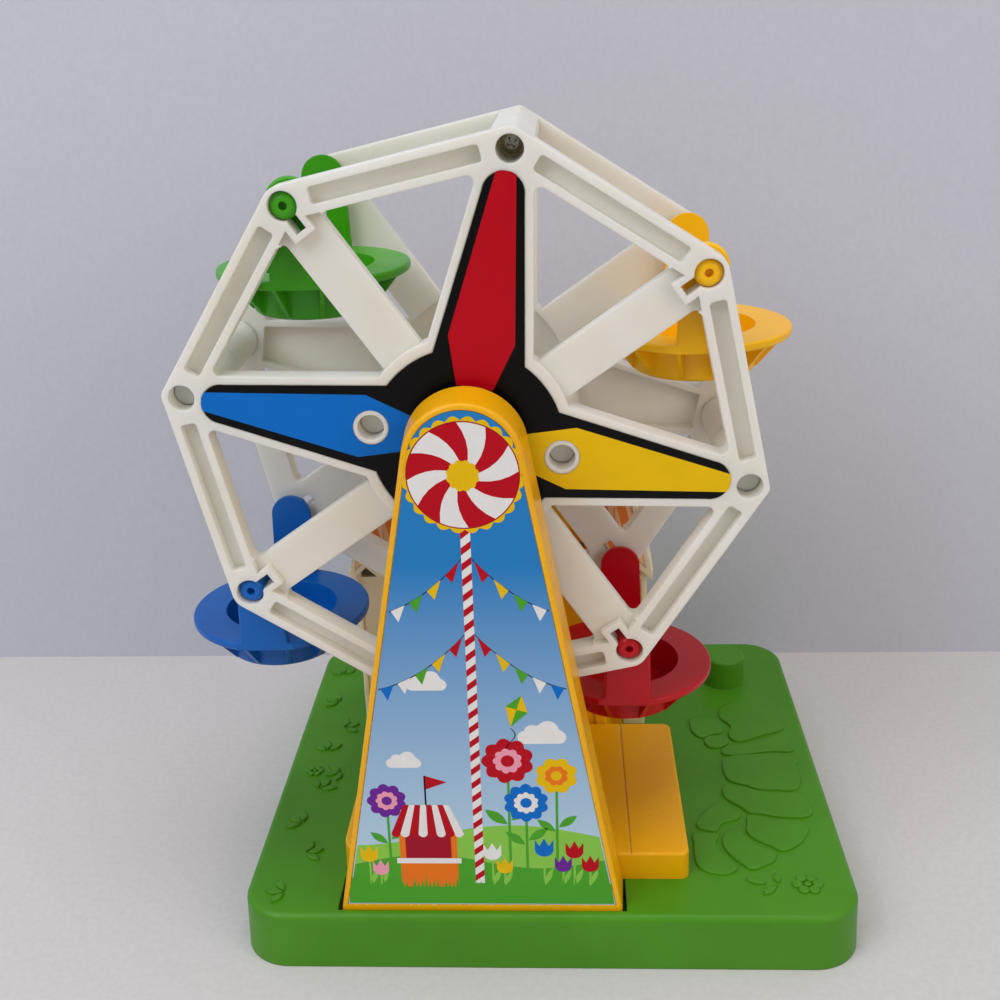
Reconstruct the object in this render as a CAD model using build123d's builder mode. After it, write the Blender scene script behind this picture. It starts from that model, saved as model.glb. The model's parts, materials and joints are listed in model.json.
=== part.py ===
from build123d import *
from math import acos, atan2, cos, degrees, pi, radians, sin, sqrt, tan
import os

# Hand-cranked toy ferris wheel on a moulded base: two octagonal wheel frames on one axle,
# four free-hanging bucket seats, a bearing tower at each side, a striped ticket booth at the
# back and a crank that turns the wheel and a pinned music drum through one gear train.
#
# Millimetres. +X is to the right, +Y to the back, +Z up. The origin is the middle of the
# base's underside, on the table.

# ------------------------------------------------------------------ driving dimensions

# base
base_width = 266.0        # at the table
base_depth = 243.0
base_height = 26.0
base_corner = 21.0        # plan corners
base_draft = 2.2          # degrees that the sides lean in
base_edge = 3.0           # rounding of the top edge
base_wall = 3.0
peg_radius = 11.0         # round peg that a toy figure stands on
peg_height = 16.5
peg_from_right = 36.8
peg_from_back = 45.2
plate_thickness = 2.4     # closing plate under the base
plate_gap = 0.4
base_screw_rows = 85.0    # between the rows of base screws
base_screw_inset = 20.0   # from the base's side to a column of screws
base_screw_post = 4.1     # radius of the posts for those screws

# wheel
axle_from_left = 104.7    # base's left side to the axle
axle_z = 226.5
wheel_setback = 29.8      # base's front to the wheel's front face
wheel_depth = 98.0        # over both frames
rest_turn = 10.2          # degrees that the wheel stands clockwise of upright
bore_circle = 110.0       # radius of the ring of screw and pivot bores
ring_out = 7.4            # rim bar, outside the line of the bores
ring_in = 5.2             # rim bar, inside that line
frame_thick = 9.0
channel_width = 6.4       # groove along each rim bar
channel_depth = 5.0
channel_end = 10.5        # from a bore to the end of the groove
corner_round = 4.0        # outer corners at the screw bores
window_round = 2.5        # corners of the openings between arms and spokes
hub_radius = 41.5
arm_root = 41.0           # star arm, width at arm_root_at
arm_root_at = 34.0
arm_tip = 17.3            # star arm, width at the bores
spoke_width = 17.6
spoke_recess = 4.0        # plain spokes lie this far behind the front face
skin = 3.0                # plate of the hollow star arms
rib = 2.5                 # walls of the hollow star arms
screw_bore = 5.1          # radius of the screw wells
screw_depth = 22.0        # from the front face to the screw heads
post_radius = 9.2         # posts that join the two frames at the screw wells
hub_post_at = 37.0        # the two posts beside the axle
hub_post_radius = 7.6
hub_tube = 9.5            # tube round the axle between the frames
hub_well_rim = 1.6        # ring of bare frame round the two wells beside the axle
pivot_bore = 5.5
pivot_lip = 2.4           # raised wall round each pivot bore and its slot
slot_width = 4.5          # assembly slot that leads into each pivot bore
slot_reach = 11.0         # from the bore's axis to the slot's end
pivot_gap = 0.08          # running clearance of the seat pins

# star label
label_thick = 0.4
label_seat = 0.5          # depth of the recess that a label lies in
label_gap = 0.3
label_arm_root = 35.0     # label arm width at arm_root_at
label_tip_radius = 8.0
label_tip_at = 94.5
label_hub = 37.5

# seats
hang = 29.5               # pivot axis to the brim's upper face
brim_radius = 39.0
brim_thick = 3.5
cup_radius = 26.5         # outside, at the brim
cup_depth = 18.0          # below the brim's upper face
cup_taper = 6.0           # degrees
cup_wall = 2.0
gusset_count = 12
gusset_thick = 1.8
gusset_back = 2.5         # the gussets start this far inside the brim's rim
gusset_toe = 0.8          # and end this far outside the cup's foot
gusset_root = 3.0         # they reach this far into the cup's wall
gusset_rise = 1.5         # above the cup's floor
cup_edge = 2.0            # rounding of the cup's foot
hanger_thick = 3.0
hanger_gap = 3.0          # wheel frame to seat hanger
hanger_top = 9.0          # radius of the hanger's round top
hanger_foot = 20.5        # hanger width at the brim
seat_edge = 1.1           # rounding of the brim's rim and the hangers' outer edges
pin_proud = 1.2           # the pin's end lies this far inside the frame's face
pin_round = 3.2
pin_dimple = 1.6
dimple_depth = 3.0

# towers
tower_gap = 4.5           # tower to wheel
tower_depth = 19.5
tower_arch = 22.8         # radius of the round top about the axle
tower_foot = 119.0        # width at the base
tower_draft = 1.0         # the tower's back edge is this much wider all round
tower_wall = 2.6
tower_front = 3.0         # thickness of the front wall
tower_edge = 1.4          # rounding of the towers' front edge
foot_depth = 10.0         # the towers stand this deep in the base
socket_gap = 0.9
socket_floor = 2.0
rim = 2.2                 # plain edge round the front label
panel_rim = 5.0           # plain edge round the rear tower's panel
panel_depth = 1.2
cover_thick = 2.5
cover_gap = 0.25
cover_screw_drops = (105.0, 184.0)   # pairs of tower screws, below the axle
cover_screw_top = 38.0    # the front cover's single screw, below the axle
tower_screw_top = 15.0    # the rear tower's single screw, above the axle
cover_screw_inset = 14.0  # from the tower's side

# shafts and bearings
axle_radius = 3.0
run = 0.05                # radial running clearance of shafts
bush_radius = 5.0
bush_length = 10.0
bush_flange = 7.5
flange_thick = 1.5
bush_boss = 8.5
end_play = 0.3

# boarding platform
platform_left = -62.5     # from the axle
platform_right = 89.5
platform_height = 13.2
platform_wall = 2.5
platform_corner = 4.0
platform_back_corner = 12.0
platform_gap = 0.5        # to the towers
platform_groove = 64.0    # a fine groove runs back at this distance from the axle
platform_groove_width = 0.8
platform_post_x = 18.0    # from the platform's side to its screw posts
platform_post_y = 17.0    # from its front or back

# rear housing
housing_grow = 6.0        # wider than the tower all round
housing_depth = 46.5
housing_wall = 2.6
housing_edge = 1.6        # rounding of the rear cover's outer edge
housing_screw_radius = 2.2
housing_post = 3.2
housing_screw_drops = (12.0, 97.0, 172.0)   # below the axle
housing_post_x = 45.0     # from the axle to the posts that stand on the base

# ticket booth
booth_left_gap = 1.0      # from the housing's foot to the booth's left wall
booth_right_gap = 9.0
booth_wall = 2.5
booth_gap = 0.5
booth_drop = 113.5        # wall tops, below the axle
booth_panel_rim = 2.6
booth_panel_depth = 0.8
booth_edge = 1.2          # rounding of the booth's corners and the roof's edges
roof_drop = 116.0         # tips of the awning, below the axle
roof_top_drop = 52.0
roof_eaves = 3.3          # the tips stand out this far past the booth's side
roof_lean = 0.21          # sideways lean of the roof's ends
roof_wall = 2.5
roof_overhang = 3.0       # in front of the booth's wall
pennant_rows = 8
pennant_height = 9.0
awning_rim = 2.3
awning_seat = 1.2
awning_stripe = 5.5
awning_rib = 0.6

# gears (all of one module) and crank
gear_module = 1.0
axle_teeth = 48
crank_teeth = 20
drum_teeth = 28
gear_face = 5.0
addendum = 0.8
dedendum = 1.1
backlash = 0.24
pressure_angle = 20.0
gear_plate = 1.5
gear_plate_space = 30.4   # between the two gear plates
gear_plate_width = 56.0
gear_plate_top = 14.0     # below the axle
gear_plate_bottom = 84.0
gear_clearance = 0.9      # plate to gear face
pillar_radius = 2.5
pillar_inset = 4.5
crank_shaft_radius = 3.0
crank_throw = 32.0
crank_arm_thick = 7.0
crank_hub_radius = 9.0
crank_end_radius = 6.5
crank_turn = 35.0         # rest position of the arm, degrees above the horizontal
grip_radius = 7.5
grip_length = 20.0
grip_pin_radius = 2.5
drum_radius = 8.0
drum_length = 20.0
drum_pin = 0.5            # how far the tune pins stand out
drum_arbor_radius = 1.5
comb_tines = 12
comb_tine_width = 1.25
comb_thick = 1.2
comb_length = 13.0
sound_drop = 150.0        # middle of the sound slots, below the axle
sound_slots = 5
sound_pitch = 9.0
sound_length = 24.0
sound_width = 3.2
comb_gap = 0.35           # tine tips to the tune pins

# fasteners
screw_head = 4.1
screw_head_height = 3.0
screw_shank = 1.9
screw_length = 40.0
small_head = 2.8
small_head_height = 1.6
small_shank = 1.3
small_length = 10.0
shank_gap = 0.08
pilot_spare = 1.0         # a pilot hole is this much deeper than its screw

# ------------------------------------------------------------------ derived places

axle_x = axle_from_left - base_width / 2
wheel_front = wheel_setback - base_depth / 2     # outer face of the front frame
peg_x = base_width / 2 - peg_from_right
peg_y = base_depth / 2 - peg_from_back
wheel_middle = wheel_front + wheel_depth / 2
wheel_back = wheel_front + wheel_depth
frame_inner = wheel_front + frame_thick
tower_back = wheel_front - tower_gap             # front tower's back face
tower_face_y = tower_back - tower_depth          # front tower's front face
rear_tower_front = wheel_back + tower_gap
rear_tower_back = rear_tower_front + tower_depth
housing_back = rear_tower_back + housing_depth
plate_front_y = rear_tower_back + housing_wall   # front gear plate
gear_y = plate_front_y + gear_plate + gear_clearance
plate_rear_y = plate_front_y + gear_plate + gear_plate_space
gear_back = gear_y + gear_face
crank_drop = gear_module * (axle_teeth + crank_teeth) / 2
drum_drop = crank_drop + gear_module * (crank_teeth + drum_teeth) / 2
booth_front = rear_tower_back + booth_gap
cover_back = housing_back + cover_thick
booth_back = cover_back + booth_gap + booth_wall
crank_arm_y = booth_back + booth_gap + roof_wall + 1.0
crank_arm_back = crank_arm_y + crank_arm_thick
drop = axle_z - base_height                      # axle above the base's top
tower_taper = degrees(atan2(tower_draft, tower_depth))
half_step = radians(22.5)
screw_angles = (0, 90, 180, 270)
pivot_angles = (45, 135, 225, 315)
outer_corner = (bore_circle * cos(half_step) + ring_out) / cos(half_step)
inner_corner = (bore_circle * cos(half_step) - ring_in) / cos(half_step)
rim_middle = bore_circle * cos(half_step) + (ring_out - ring_in) / 2
side_length = 2 * bore_circle * sin(half_step)
screw_spots = [(bore_circle * cos(radians(a)), bore_circle * sin(radians(a))) for a in screw_angles]
hub_spots = [(hub_post_at, 0), (-hub_post_at, 0)]
tower_slope = (tower_foot / 2 - tower_arch) / drop
paired_spots = [(side * (tower_arch + tower_slope * below - cover_screw_inset), -below)
                for side in (-1, 1) for below in cover_screw_drops]
rear_tower_spots = [(0, tower_screw_top)] + paired_spots
back_cover_spots = [(0, -cover_screw_top)] + paired_spots
housing_half = tower_foot / 2 + tower_draft + housing_grow
booth_width = 2 * housing_half + booth_left_gap + booth_right_gap + 2 * booth_wall
booth_shift = (booth_right_gap - booth_left_gap) / 2   # the booth's middle, right of the axle
roof_width = booth_width + 2 * roof_eaves              # at the awning's tips

pillar_x = gear_plate_width / 2 - pillar_inset
plate_height = gear_plate_bottom - gear_plate_top
plate_centre = -(gear_plate_top + gear_plate_bottom) / 2
pillar_spots = [(sx * pillar_x, plate_centre + sy * (plate_height / 2 - pillar_inset))
                for sx in (-1, 1) for sy in (-1, 1)]
platform_front_y = tower_back + platform_gap
platform_back_y = rear_tower_front - platform_gap
platform_centre_x = axle_x + (platform_left + platform_right) / 2
platform_centre_y = (platform_front_y + platform_back_y) / 2
booth_x = axle_x + booth_shift
booth_depth = booth_back - booth_front
booth_top = axle_z - booth_drop
stand_post = small_head + 1.4                    # posts inside the platform and the housing
platform_posts = [(axle_x + x, y) for x in (platform_left + platform_post_x, platform_right - platform_post_x)
                  for y in (platform_front_y + platform_post_y, platform_back_y - platform_post_y)]
housing_posts = [(axle_x + side * housing_post_x, rear_tower_back + housing_depth / 2) for side in (-1, 1)]

parts = {}


def keep(name, builder):
    """Label a finished piece and remember it under its name."""
    builder.part.label = name
    parts[name] = builder.part


def facing(y, turn=0.0, x=axle_x, z=axle_z):
    """A drawing plane at depth y that faces the front, turned clockwise as seen from there."""
    lean = radians(turn)
    return Plane(origin=(x, y, z), x_dir=(cos(lean), 0, -sin(lean)), z_dir=(0, -1, 0))


def ring(y, length, outer, inner=0.0, x=axle_x, z=axle_z):
    """A disc or tube about a front-to-back axis, from depth y backwards."""
    with BuildPart() as tube:
        with BuildSketch(facing(y, x=x, z=z)):
            Circle(outer)
            if inner:
                Circle(inner, mode=Mode.SUBTRACT)
        extrude(amount=-length)
    return tube.part


# ------------------------------------------------------------------ outlines


def tower_outline(grow=0.0, foot=0.0):
    """The tower's outline about the axle: round arch, straight sides, a straight foot below."""
    arch = tower_arch + grow
    half = tower_foot / 2 + grow
    reach = sqrt(half**2 + drop**2)
    touch_angle = atan2(-drop, half) + acos(arch / reach)
    touch = (arch * cos(touch_angle), arch * sin(touch_angle))
    right_side = [touch, (half, -drop)]
    if foot:
        right_side.append((half, -drop - foot))
    left_side = [(-x, y) for x, y in reversed(right_side)]
    with BuildSketch() as outline:
        with BuildLine():
            Polyline(*right_side, *left_side)
            ThreePointArc((-touch[0], touch[1]), (0, arch), touch)
        make_face()
    return outline.sketch


def tower_half_width(below):
    """Half the front outline's width at a height below the axle."""
    return tower_arch + tower_slope * below


def octagon(corner):
    with BuildSketch() as shape:
        RegularPolygon(corner, 8)
    return shape.sketch


def wheel_outline():
    """The octagon with round corners at the pivots and tighter ones at the screws."""
    with BuildSketch() as outline:
        RegularPolygon(outer_corner, 8)
        corners = outline.vertices()
        at_pivots = [v for v in corners if abs(abs(v.X) - abs(v.Y)) < 1]
        fillet(at_pivots, ring_out)
        at_screws = [v for v in outline.vertices() if min(abs(v.X), abs(v.Y)) < 1]
        fillet(at_screws, corner_round)
    return outline.sketch


def arm_outline(root, tip):
    """One star arm along +X, from inside the hub to the bore."""
    slope = (root - tip) / 2 / (bore_circle - arm_root_at)
    inner = root / 2 + slope * (arm_root_at - rib)
    with BuildSketch() as arm:
        with BuildLine():
            Polyline((rib, -inner), (bore_circle, -tip / 2), (bore_circle, tip / 2), (rib, inner),
                     close=True)
        make_face()
    return arm.sketch


def star_outline(shrink=0.0):
    """Label outline: a round hub and four arms with round tips, smaller all round by shrink."""
    slope = (label_arm_root / 2 - label_tip_radius) / (label_tip_at - arm_root_at)
    root = label_arm_root / 2 + slope * arm_root_at - shrink
    tip = label_tip_radius - shrink
    with BuildSketch() as arm:
        with BuildLine():
            Polyline((0, -root), (label_tip_at, -tip), (label_tip_at, tip), (0, root), close=True)
        make_face()
        with Locations((label_tip_at, 0)):
            Circle(tip)
    with BuildSketch() as star:
        Circle(label_hub - shrink)
        with PolarLocations(0, 4):
            add(arm.sketch)
    return star.sketch


def gear_outline(teeth, first_tooth):
    """A spur gear with straight flanks set on the involute; one tooth points at first_tooth."""
    pitch = gear_module * teeth / 2
    base_circle = pitch * cos(radians(pressure_angle))
    tooth = pi / 2 / teeth - backlash / 2 / pitch

    def involute(angle):
        return tan(angle) - angle

    def half_angle(radius):
        angle = acos(min(1.0, base_circle / radius))
        return tooth + involute(radians(pressure_angle)) - involute(angle)

    tip = pitch + addendum * gear_module
    root = pitch - dedendum * gear_module
    points = []
    for number in range(teeth):
        middle = radians(first_tooth) + 2 * pi * number / teeth
        for radius, side in ((root, -1), (tip, -1), (tip, 1), (root, 1)):
            angle = middle + side * half_angle(radius)
            points.append((radius * cos(angle), radius * sin(angle)))
    with BuildSketch() as outline:
        with BuildLine():
            Polyline(*points, close=True)
        make_face()
    return outline.sketch


# ------------------------------------------------------------------ base

socket_width = tower_foot + 2 * tower_draft + 2 * socket_gap
socket_depth = tower_depth + 2 * socket_gap
front_socket_y = (tower_back + tower_face_y) / 2
rear_socket_y = (rear_tower_front + rear_tower_back) / 2
base_screw_spots = [(side * (base_width / 2 - base_screw_inset), row * base_screw_rows)
                    for side in (-1, 1) for row in (-1, 0, 1)]

with BuildPart() as base:
    with BuildSketch():
        RectangleRounded(base_width, base_depth, base_corner)
    extrude(amount=base_height, taper=base_draft)
    fillet(base.faces().sort_by(Axis.Z)[-1].edges(), base_edge)
    with BuildSketch():
        RectangleRounded(base_width - 2 * base_wall, base_depth - 2 * base_wall, base_corner - base_wall)
    extrude(amount=base_height - base_wall, taper=base_draft, mode=Mode.SUBTRACT)
    # sockets for the two towers
    with BuildSketch(Plane.XY.offset(base_height - foot_depth - socket_floor)):
        with Locations((axle_x, front_socket_y), (axle_x, rear_socket_y)):
            Rectangle(socket_width + 2 * base_wall, socket_depth + 2 * base_wall)
    extrude(amount=foot_depth + socket_floor - base_wall)
    with BuildSketch(Plane.XY.offset(base_height - foot_depth)):
        with Locations((axle_x, front_socket_y), (axle_x, rear_socket_y)):
            Rectangle(socket_width, socket_depth)
    extrude(amount=foot_depth, mode=Mode.SUBTRACT)
    # posts that the closing plate is screwed to
    with BuildSketch(Plane.XY.offset(plate_thickness)):
        with Locations(*base_screw_spots):
            Circle(base_screw_post)
    extrude(amount=base_height - base_wall - plate_thickness)
    with BuildSketch(Plane.XY.offset(plate_thickness)):
        with Locations(*base_screw_spots):
            Circle(small_shank + shank_gap)
    extrude(amount=small_length, mode=Mode.SUBTRACT)
    with BuildSketch(Plane.XY.offset(base_height)):
        with Locations(*platform_posts, *housing_posts):
            Circle(small_shank + shank_gap)
    extrude(amount=-base_wall, mode=Mode.SUBTRACT)
    # figure peg, hollow from below
    with BuildSketch(Plane.XY.offset(base_height - base_wall)):
        with Locations((peg_x, peg_y)):
            Circle(peg_radius)
    extrude(amount=peg_height + base_wall)
    fillet(base.faces().sort_by(Axis.Z)[-1].edges(), 1.5)
    with BuildSketch(Plane.XY.offset(base_height - base_wall)):
        with Locations((peg_x, peg_y)):
            Circle(peg_radius - base_wall)
    extrude(amount=peg_height, mode=Mode.SUBTRACT)
keep("base", base)

with BuildPart() as base_plate:
    with BuildSketch():
        RectangleRounded(base_width - 2 * (base_wall + plate_gap), base_depth - 2 * (base_wall + plate_gap),
                         base_corner - base_wall - plate_gap)
    extrude(amount=plate_thickness)
    with BuildSketch():
        with Locations(*base_screw_spots):
            Circle(small_head + shank_gap)
    extrude(amount=small_head_height, mode=Mode.SUBTRACT)
    with BuildSketch():
        with Locations(*base_screw_spots):
            Circle(small_shank + shank_gap)
    extrude(amount=plate_thickness, mode=Mode.SUBTRACT)
keep("base_plate", base_plate)

with BuildPart() as base_screws:
    with BuildSketch(Plane.XY.offset(small_head_height)):
        with Locations(*base_screw_spots):
            Circle(small_head)
    extrude(amount=-small_head_height + 0.4)
    with BuildSketch(Plane.XY.offset(small_head_height)):
        with Locations(*base_screw_spots):
            Circle(small_shank)
    extrude(amount=small_length - 1)
keep("base_screws", base_screws)

# ------------------------------------------------------------------ towers


def tower_shell(back_y):
    """A tower moulding, open at the back, with its front wall towards -Y."""
    with BuildPart() as shell:
        with BuildSketch(facing(back_y)):
            add(tower_outline(tower_draft, foot_depth))
        extrude(amount=tower_depth, taper=tower_taper)
        fillet(shell.faces().sort_by(Axis.Y)[0].edges(), tower_edge)
        with BuildSketch(facing(back_y)):
            add(tower_outline(tower_draft, foot_depth))
            offset(amount=-tower_wall, mode=Mode.REPLACE)
        extrude(amount=tower_depth - tower_front, taper=tower_taper, mode=Mode.SUBTRACT)
    return shell.part


def label_outline(edge):
    """The tower's front face without a plain edge all round."""
    with BuildSketch() as face:
        add(tower_outline())
        offset(amount=-edge, mode=Mode.REPLACE)
    return face.sketch


front_shell = tower_shell(tower_back)
with BuildPart() as front_tower:
    add(front_shell)
    with BuildSketch(facing(tower_face_y)):
        add(label_outline(rim))
    extrude(amount=-label_seat, mode=Mode.SUBTRACT)
    # posts for the screws of the back cover
    with BuildSketch(facing(tower_back - cover_thick)):
        with Locations(*back_cover_spots):
            Circle(small_head + 0.8)
    extrude(amount=tower_depth - tower_front - cover_thick + 0.5)
    with BuildSketch(facing(tower_back - cover_thick)):
        with Locations(*back_cover_spots):
            Circle(small_shank + shank_gap)
    extrude(amount=small_length, mode=Mode.SUBTRACT)
keep("front_tower", front_tower)

with BuildPart() as front_tower_back:
    with BuildSketch(facing(tower_back)):
        add(tower_outline(tower_draft, foot_depth))
        offset(amount=-tower_wall - cover_gap, mode=Mode.REPLACE)
    extrude(amount=cover_thick)
    with BuildSketch(facing(tower_back)):
        Circle(bush_boss)
    extrude(amount=bush_length)
    with BuildSketch(facing(tower_back)):
        Circle(bush_radius)
    extrude(amount=bush_length, mode=Mode.SUBTRACT)
    with BuildSketch(facing(tower_back)):
        with Locations(*back_cover_spots):
            Circle(small_shank + shank_gap)
    extrude(amount=cover_thick, mode=Mode.SUBTRACT)
    with BuildSketch(facing(tower_back)):
        with Locations(*back_cover_spots):
            Circle(small_head + shank_gap)
    extrude(amount=small_head_height, mode=Mode.SUBTRACT)
keep("front_tower_back", front_tower_back)

with BuildPart() as front_tower_screws:
    with BuildSketch(facing(tower_back)):
        with Locations(*back_cover_spots):
            Circle(small_head)
    extrude(amount=small_head_height)
    with BuildSketch(facing(tower_back)):
        with Locations(*back_cover_spots):
            Circle(small_shank)
    extrude(amount=small_length)
keep("front_tower_screws", front_tower_screws)

with BuildPart() as tower_label:
    with BuildSketch(facing(tower_face_y + label_seat)):
        add(label_outline(rim + label_gap))
    extrude(amount=label_thick)
keep("tower_label", tower_label)

# the wheel-side bush of each tower: a flanged sleeve
with BuildPart() as front_bush:
    add(ring(tower_back - bush_length, bush_length, bush_radius, axle_radius + run))
    add(ring(tower_back, flange_thick, bush_flange, axle_radius + run))
keep("front_bush", front_bush)

rear_shell = tower_shell(rear_tower_back)
with BuildPart() as rear_tower:
    add(rear_shell)
    with BuildSketch(facing(rear_tower_front)):
        add(label_outline(panel_rim))
        Circle(bush_boss + 2, mode=Mode.SUBTRACT)
    extrude(amount=-panel_depth, mode=Mode.SUBTRACT)
    with BuildSketch(facing(rear_tower_front)):
        Circle(bush_boss)
    extrude(amount=-bush_length)
    with BuildSketch(facing(rear_tower_front)):
        Circle(bush_radius)
    extrude(amount=-bush_length, mode=Mode.SUBTRACT)
    # posts for the screws that come through the housing's front wall
    with BuildSketch(facing(rear_tower_back)):
        with Locations(*rear_tower_spots):
            Circle(small_head + 0.8)
    extrude(amount=tower_depth - tower_front + 0.5)
    with BuildSketch(facing(rear_tower_back)):
        with Locations(*rear_tower_spots):
            Circle(small_shank + shank_gap)
    extrude(amount=small_length, mode=Mode.SUBTRACT)
keep("rear_tower", rear_tower)

with BuildPart() as rear_tower_screws:
    with BuildSketch(facing(rear_tower_back + housing_wall - 0.3)):
        with Locations(*rear_tower_spots):
            Circle(small_head)
    extrude(amount=small_head_height)
    with BuildSketch(facing(rear_tower_back + housing_wall - 0.3)):
        with Locations(*rear_tower_spots):
            Circle(small_shank)
    extrude(amount=small_length)
keep("rear_tower_screws", rear_tower_screws)

with BuildPart() as rear_bush:
    add(ring(rear_tower_front, bush_length, bush_radius, axle_radius + run))
    add(ring(rear_tower_front - flange_thick, flange_thick, bush_flange, axle_radius + run))
keep("rear_bush", rear_bush)

# ------------------------------------------------------------------ rear housing

housing_spots = [(side * (tower_half_width(below) + tower_draft + housing_grow / 2), -below)
                 for side in (-1, 1) for below in housing_screw_drops]
housing_outline_grow = tower_draft + housing_grow
booth_spots = [spot for spot in housing_spots if -spot[1] > booth_drop]

with BuildPart() as rear_housing:
    with BuildSketch(facing(rear_tower_back)):
        add(tower_outline(housing_outline_grow))
    extrude(amount=-housing_depth)
    with BuildSketch(facing(rear_tower_back + housing_wall)):
        add(tower_outline(housing_outline_grow))
        offset(amount=-housing_wall, mode=Mode.REPLACE)
    extrude(amount=-housing_depth, mode=Mode.SUBTRACT)
    with BuildSketch(facing(rear_tower_back + housing_wall)):
        with Locations(*housing_spots):
            Circle(housing_post)
    extrude(amount=-(housing_depth / 2 - housing_wall))
    with BuildSketch(facing(rear_tower_back)):
        with Locations(*housing_spots):
            Circle(housing_screw_radius)
    extrude(amount=-(small_head_height + 1.5), mode=Mode.SUBTRACT)
    with BuildSketch(facing(rear_tower_back)):
        with Locations(*housing_spots):
            Circle(small_shank + shank_gap)
    extrude(amount=-housing_depth, mode=Mode.SUBTRACT)
    with BuildSketch(facing(rear_tower_back)):
        Circle(axle_radius + 2)
    extrude(amount=-housing_wall, mode=Mode.SUBTRACT)
    # feet for the screws that come up through the base
    with BuildSketch(Plane.XY.offset(base_height)):
        with Locations(*housing_posts):
            Circle(stand_post)
    extrude(amount=small_length + 2)
    with BuildSketch(Plane.XY.offset(base_height)):
        with Locations(*housing_posts):
            Circle(small_shank + shank_gap)
    extrude(amount=small_length, mode=Mode.SUBTRACT)
    with BuildSketch(facing(rear_tower_back)):
        with Locations(*rear_tower_spots, *pillar_spots):
            Circle(small_shank + shank_gap)
    extrude(amount=-housing_wall, mode=Mode.SUBTRACT)
    with BuildSketch(facing(rear_tower_back + housing_wall)):
        with Locations(*rear_tower_spots):
            Circle(small_head + shank_gap)
    extrude(amount=small_head_height + 0.3, mode=Mode.SUBTRACT)
    with BuildSketch(facing(rear_tower_back)):
        with Locations(*pillar_spots):
            Circle(small_head + shank_gap)
    extrude(amount=-(small_head_height + 0.2), mode=Mode.SUBTRACT)
keep("rear_housing", rear_housing)

with BuildPart() as rear_cover:
    with BuildSketch(facing(housing_back)):
        add(tower_outline(housing_outline_grow))
    extrude(amount=-cover_thick)
    fillet(rear_cover.faces().sort_by(Axis.Y)[-1].edges(), housing_edge)
    with BuildSketch(facing(housing_back)):
        with Locations(*housing_spots):
            Circle(housing_post)
        with BuildSketch(mode=Mode.INTERSECT):
            add(tower_outline(housing_outline_grow))
            offset(amount=-housing_wall - cover_gap, mode=Mode.REPLACE)
    extrude(amount=housing_depth / 2)
    with BuildSketch(facing(rear_tower_back + housing_depth / 2)):
        with Locations(*housing_spots):
            Circle(small_shank + shank_gap)
    extrude(amount=-small_length - 3, mode=Mode.SUBTRACT)
    with BuildSketch(facing(cover_back)):
        with Locations(*booth_spots):
            Circle(small_shank + shank_gap)
    extrude(amount=small_length - 2, mode=Mode.SUBTRACT)
    # bearing boss of the crank shaft
    with BuildSketch(facing(housing_back)):
        with Locations((0, -crank_drop)):
            Circle(bush_boss)
    extrude(amount=bush_length - cover_thick)
    with BuildSketch(facing(cover_back)):
        with Locations((0, -crank_drop)):
            Circle(bush_radius)
    extrude(amount=bush_length + cover_thick, mode=Mode.SUBTRACT)
    # sound slots in front of the music drum
    with BuildSketch(facing(cover_back)):
        with Locations((0, -sound_drop)):
            with GridLocations(sound_pitch, 1, sound_slots, 1):
                SlotOverall(sound_length, sound_width, rotation=90)
    extrude(amount=cover_thick, mode=Mode.SUBTRACT)
keep("rear_cover", rear_cover)

with BuildPart() as housing_screws:
    with BuildSketch(facing(rear_tower_back + 1.5)):
        with Locations(*housing_spots):
            Circle(housing_screw_radius - shank_gap)
    extrude(amount=-small_head_height)
    with BuildSketch(facing(rear_tower_back + 1.5)):
        with Locations(*housing_spots):
            Circle(small_shank)
    extrude(amount=-(housing_depth / 2 + small_length))
keep("housing_screws", housing_screws)

# ------------------------------------------------------------------ boarding platform

platform_middle = (platform_centre_x, platform_centre_y)
with BuildPart() as platform:
    with BuildSketch(Plane.XY.offset(base_height)):
        with Locations(platform_middle):
            Rectangle(platform_right - platform_left, platform_back_y - platform_front_y)
    extrude(amount=platform_height, taper=1.5)
    uprights = platform.edges().filter_by(lambda e: abs(e.tangent_at(0.5).Z) > 0.9)
    left_uprights = uprights.sort_by(Axis.X)[:2]
    fillet(left_uprights, platform_back_corner)
    uprights = platform.edges().filter_by(lambda e: abs(e.tangent_at(0.5).Z) > 0.9)
    fillet(uprights.sort_by(Axis.X)[-2:], platform_corner)
    fillet(platform.faces().sort_by(Axis.Z)[-1].edges(), 1.2)
    with BuildSketch(Plane.XY.offset(base_height)):
        with Locations(platform_middle):
            RectangleRounded(platform_right - platform_left - 2 * platform_wall,
                             platform_back_y - platform_front_y - 2 * platform_wall, platform_back_corner)
    extrude(amount=platform_height - platform_wall, taper=1.5, mode=Mode.SUBTRACT)
    with BuildSketch(Plane.XY.offset(base_height + platform_height)):
        with Locations((axle_x + platform_groove, platform_middle[1])):
            Rectangle(platform_groove_width, platform_back_y - platform_front_y)
    extrude(amount=-0.5, mode=Mode.SUBTRACT)
    with BuildSketch(Plane.XY.offset(base_height)):
        with Locations(*platform_posts):
            Circle(stand_post)
    extrude(amount=platform_height - platform_wall)
    with BuildSketch(Plane.XY.offset(base_height)):
        with Locations(*platform_posts):
            Circle(small_shank + shank_gap)
    extrude(amount=small_length - 1, mode=Mode.SUBTRACT)
keep("platform", platform)

# screws from under the base's top hold the platform and the rear housing
stand_spots = platform_posts + housing_posts
with BuildPart() as stand_screws:
    with BuildSketch(Plane.XY.offset(base_height - base_wall)):
        with Locations(*stand_spots):
            Circle(small_head)
    extrude(amount=-small_head_height)
    with BuildSketch(Plane.XY.offset(base_height - base_wall)):
        with Locations(*stand_spots):
            Circle(small_shank)
    extrude(amount=small_length)
keep("stand_screws", stand_screws)

# ------------------------------------------------------------------ ticket booth

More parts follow.
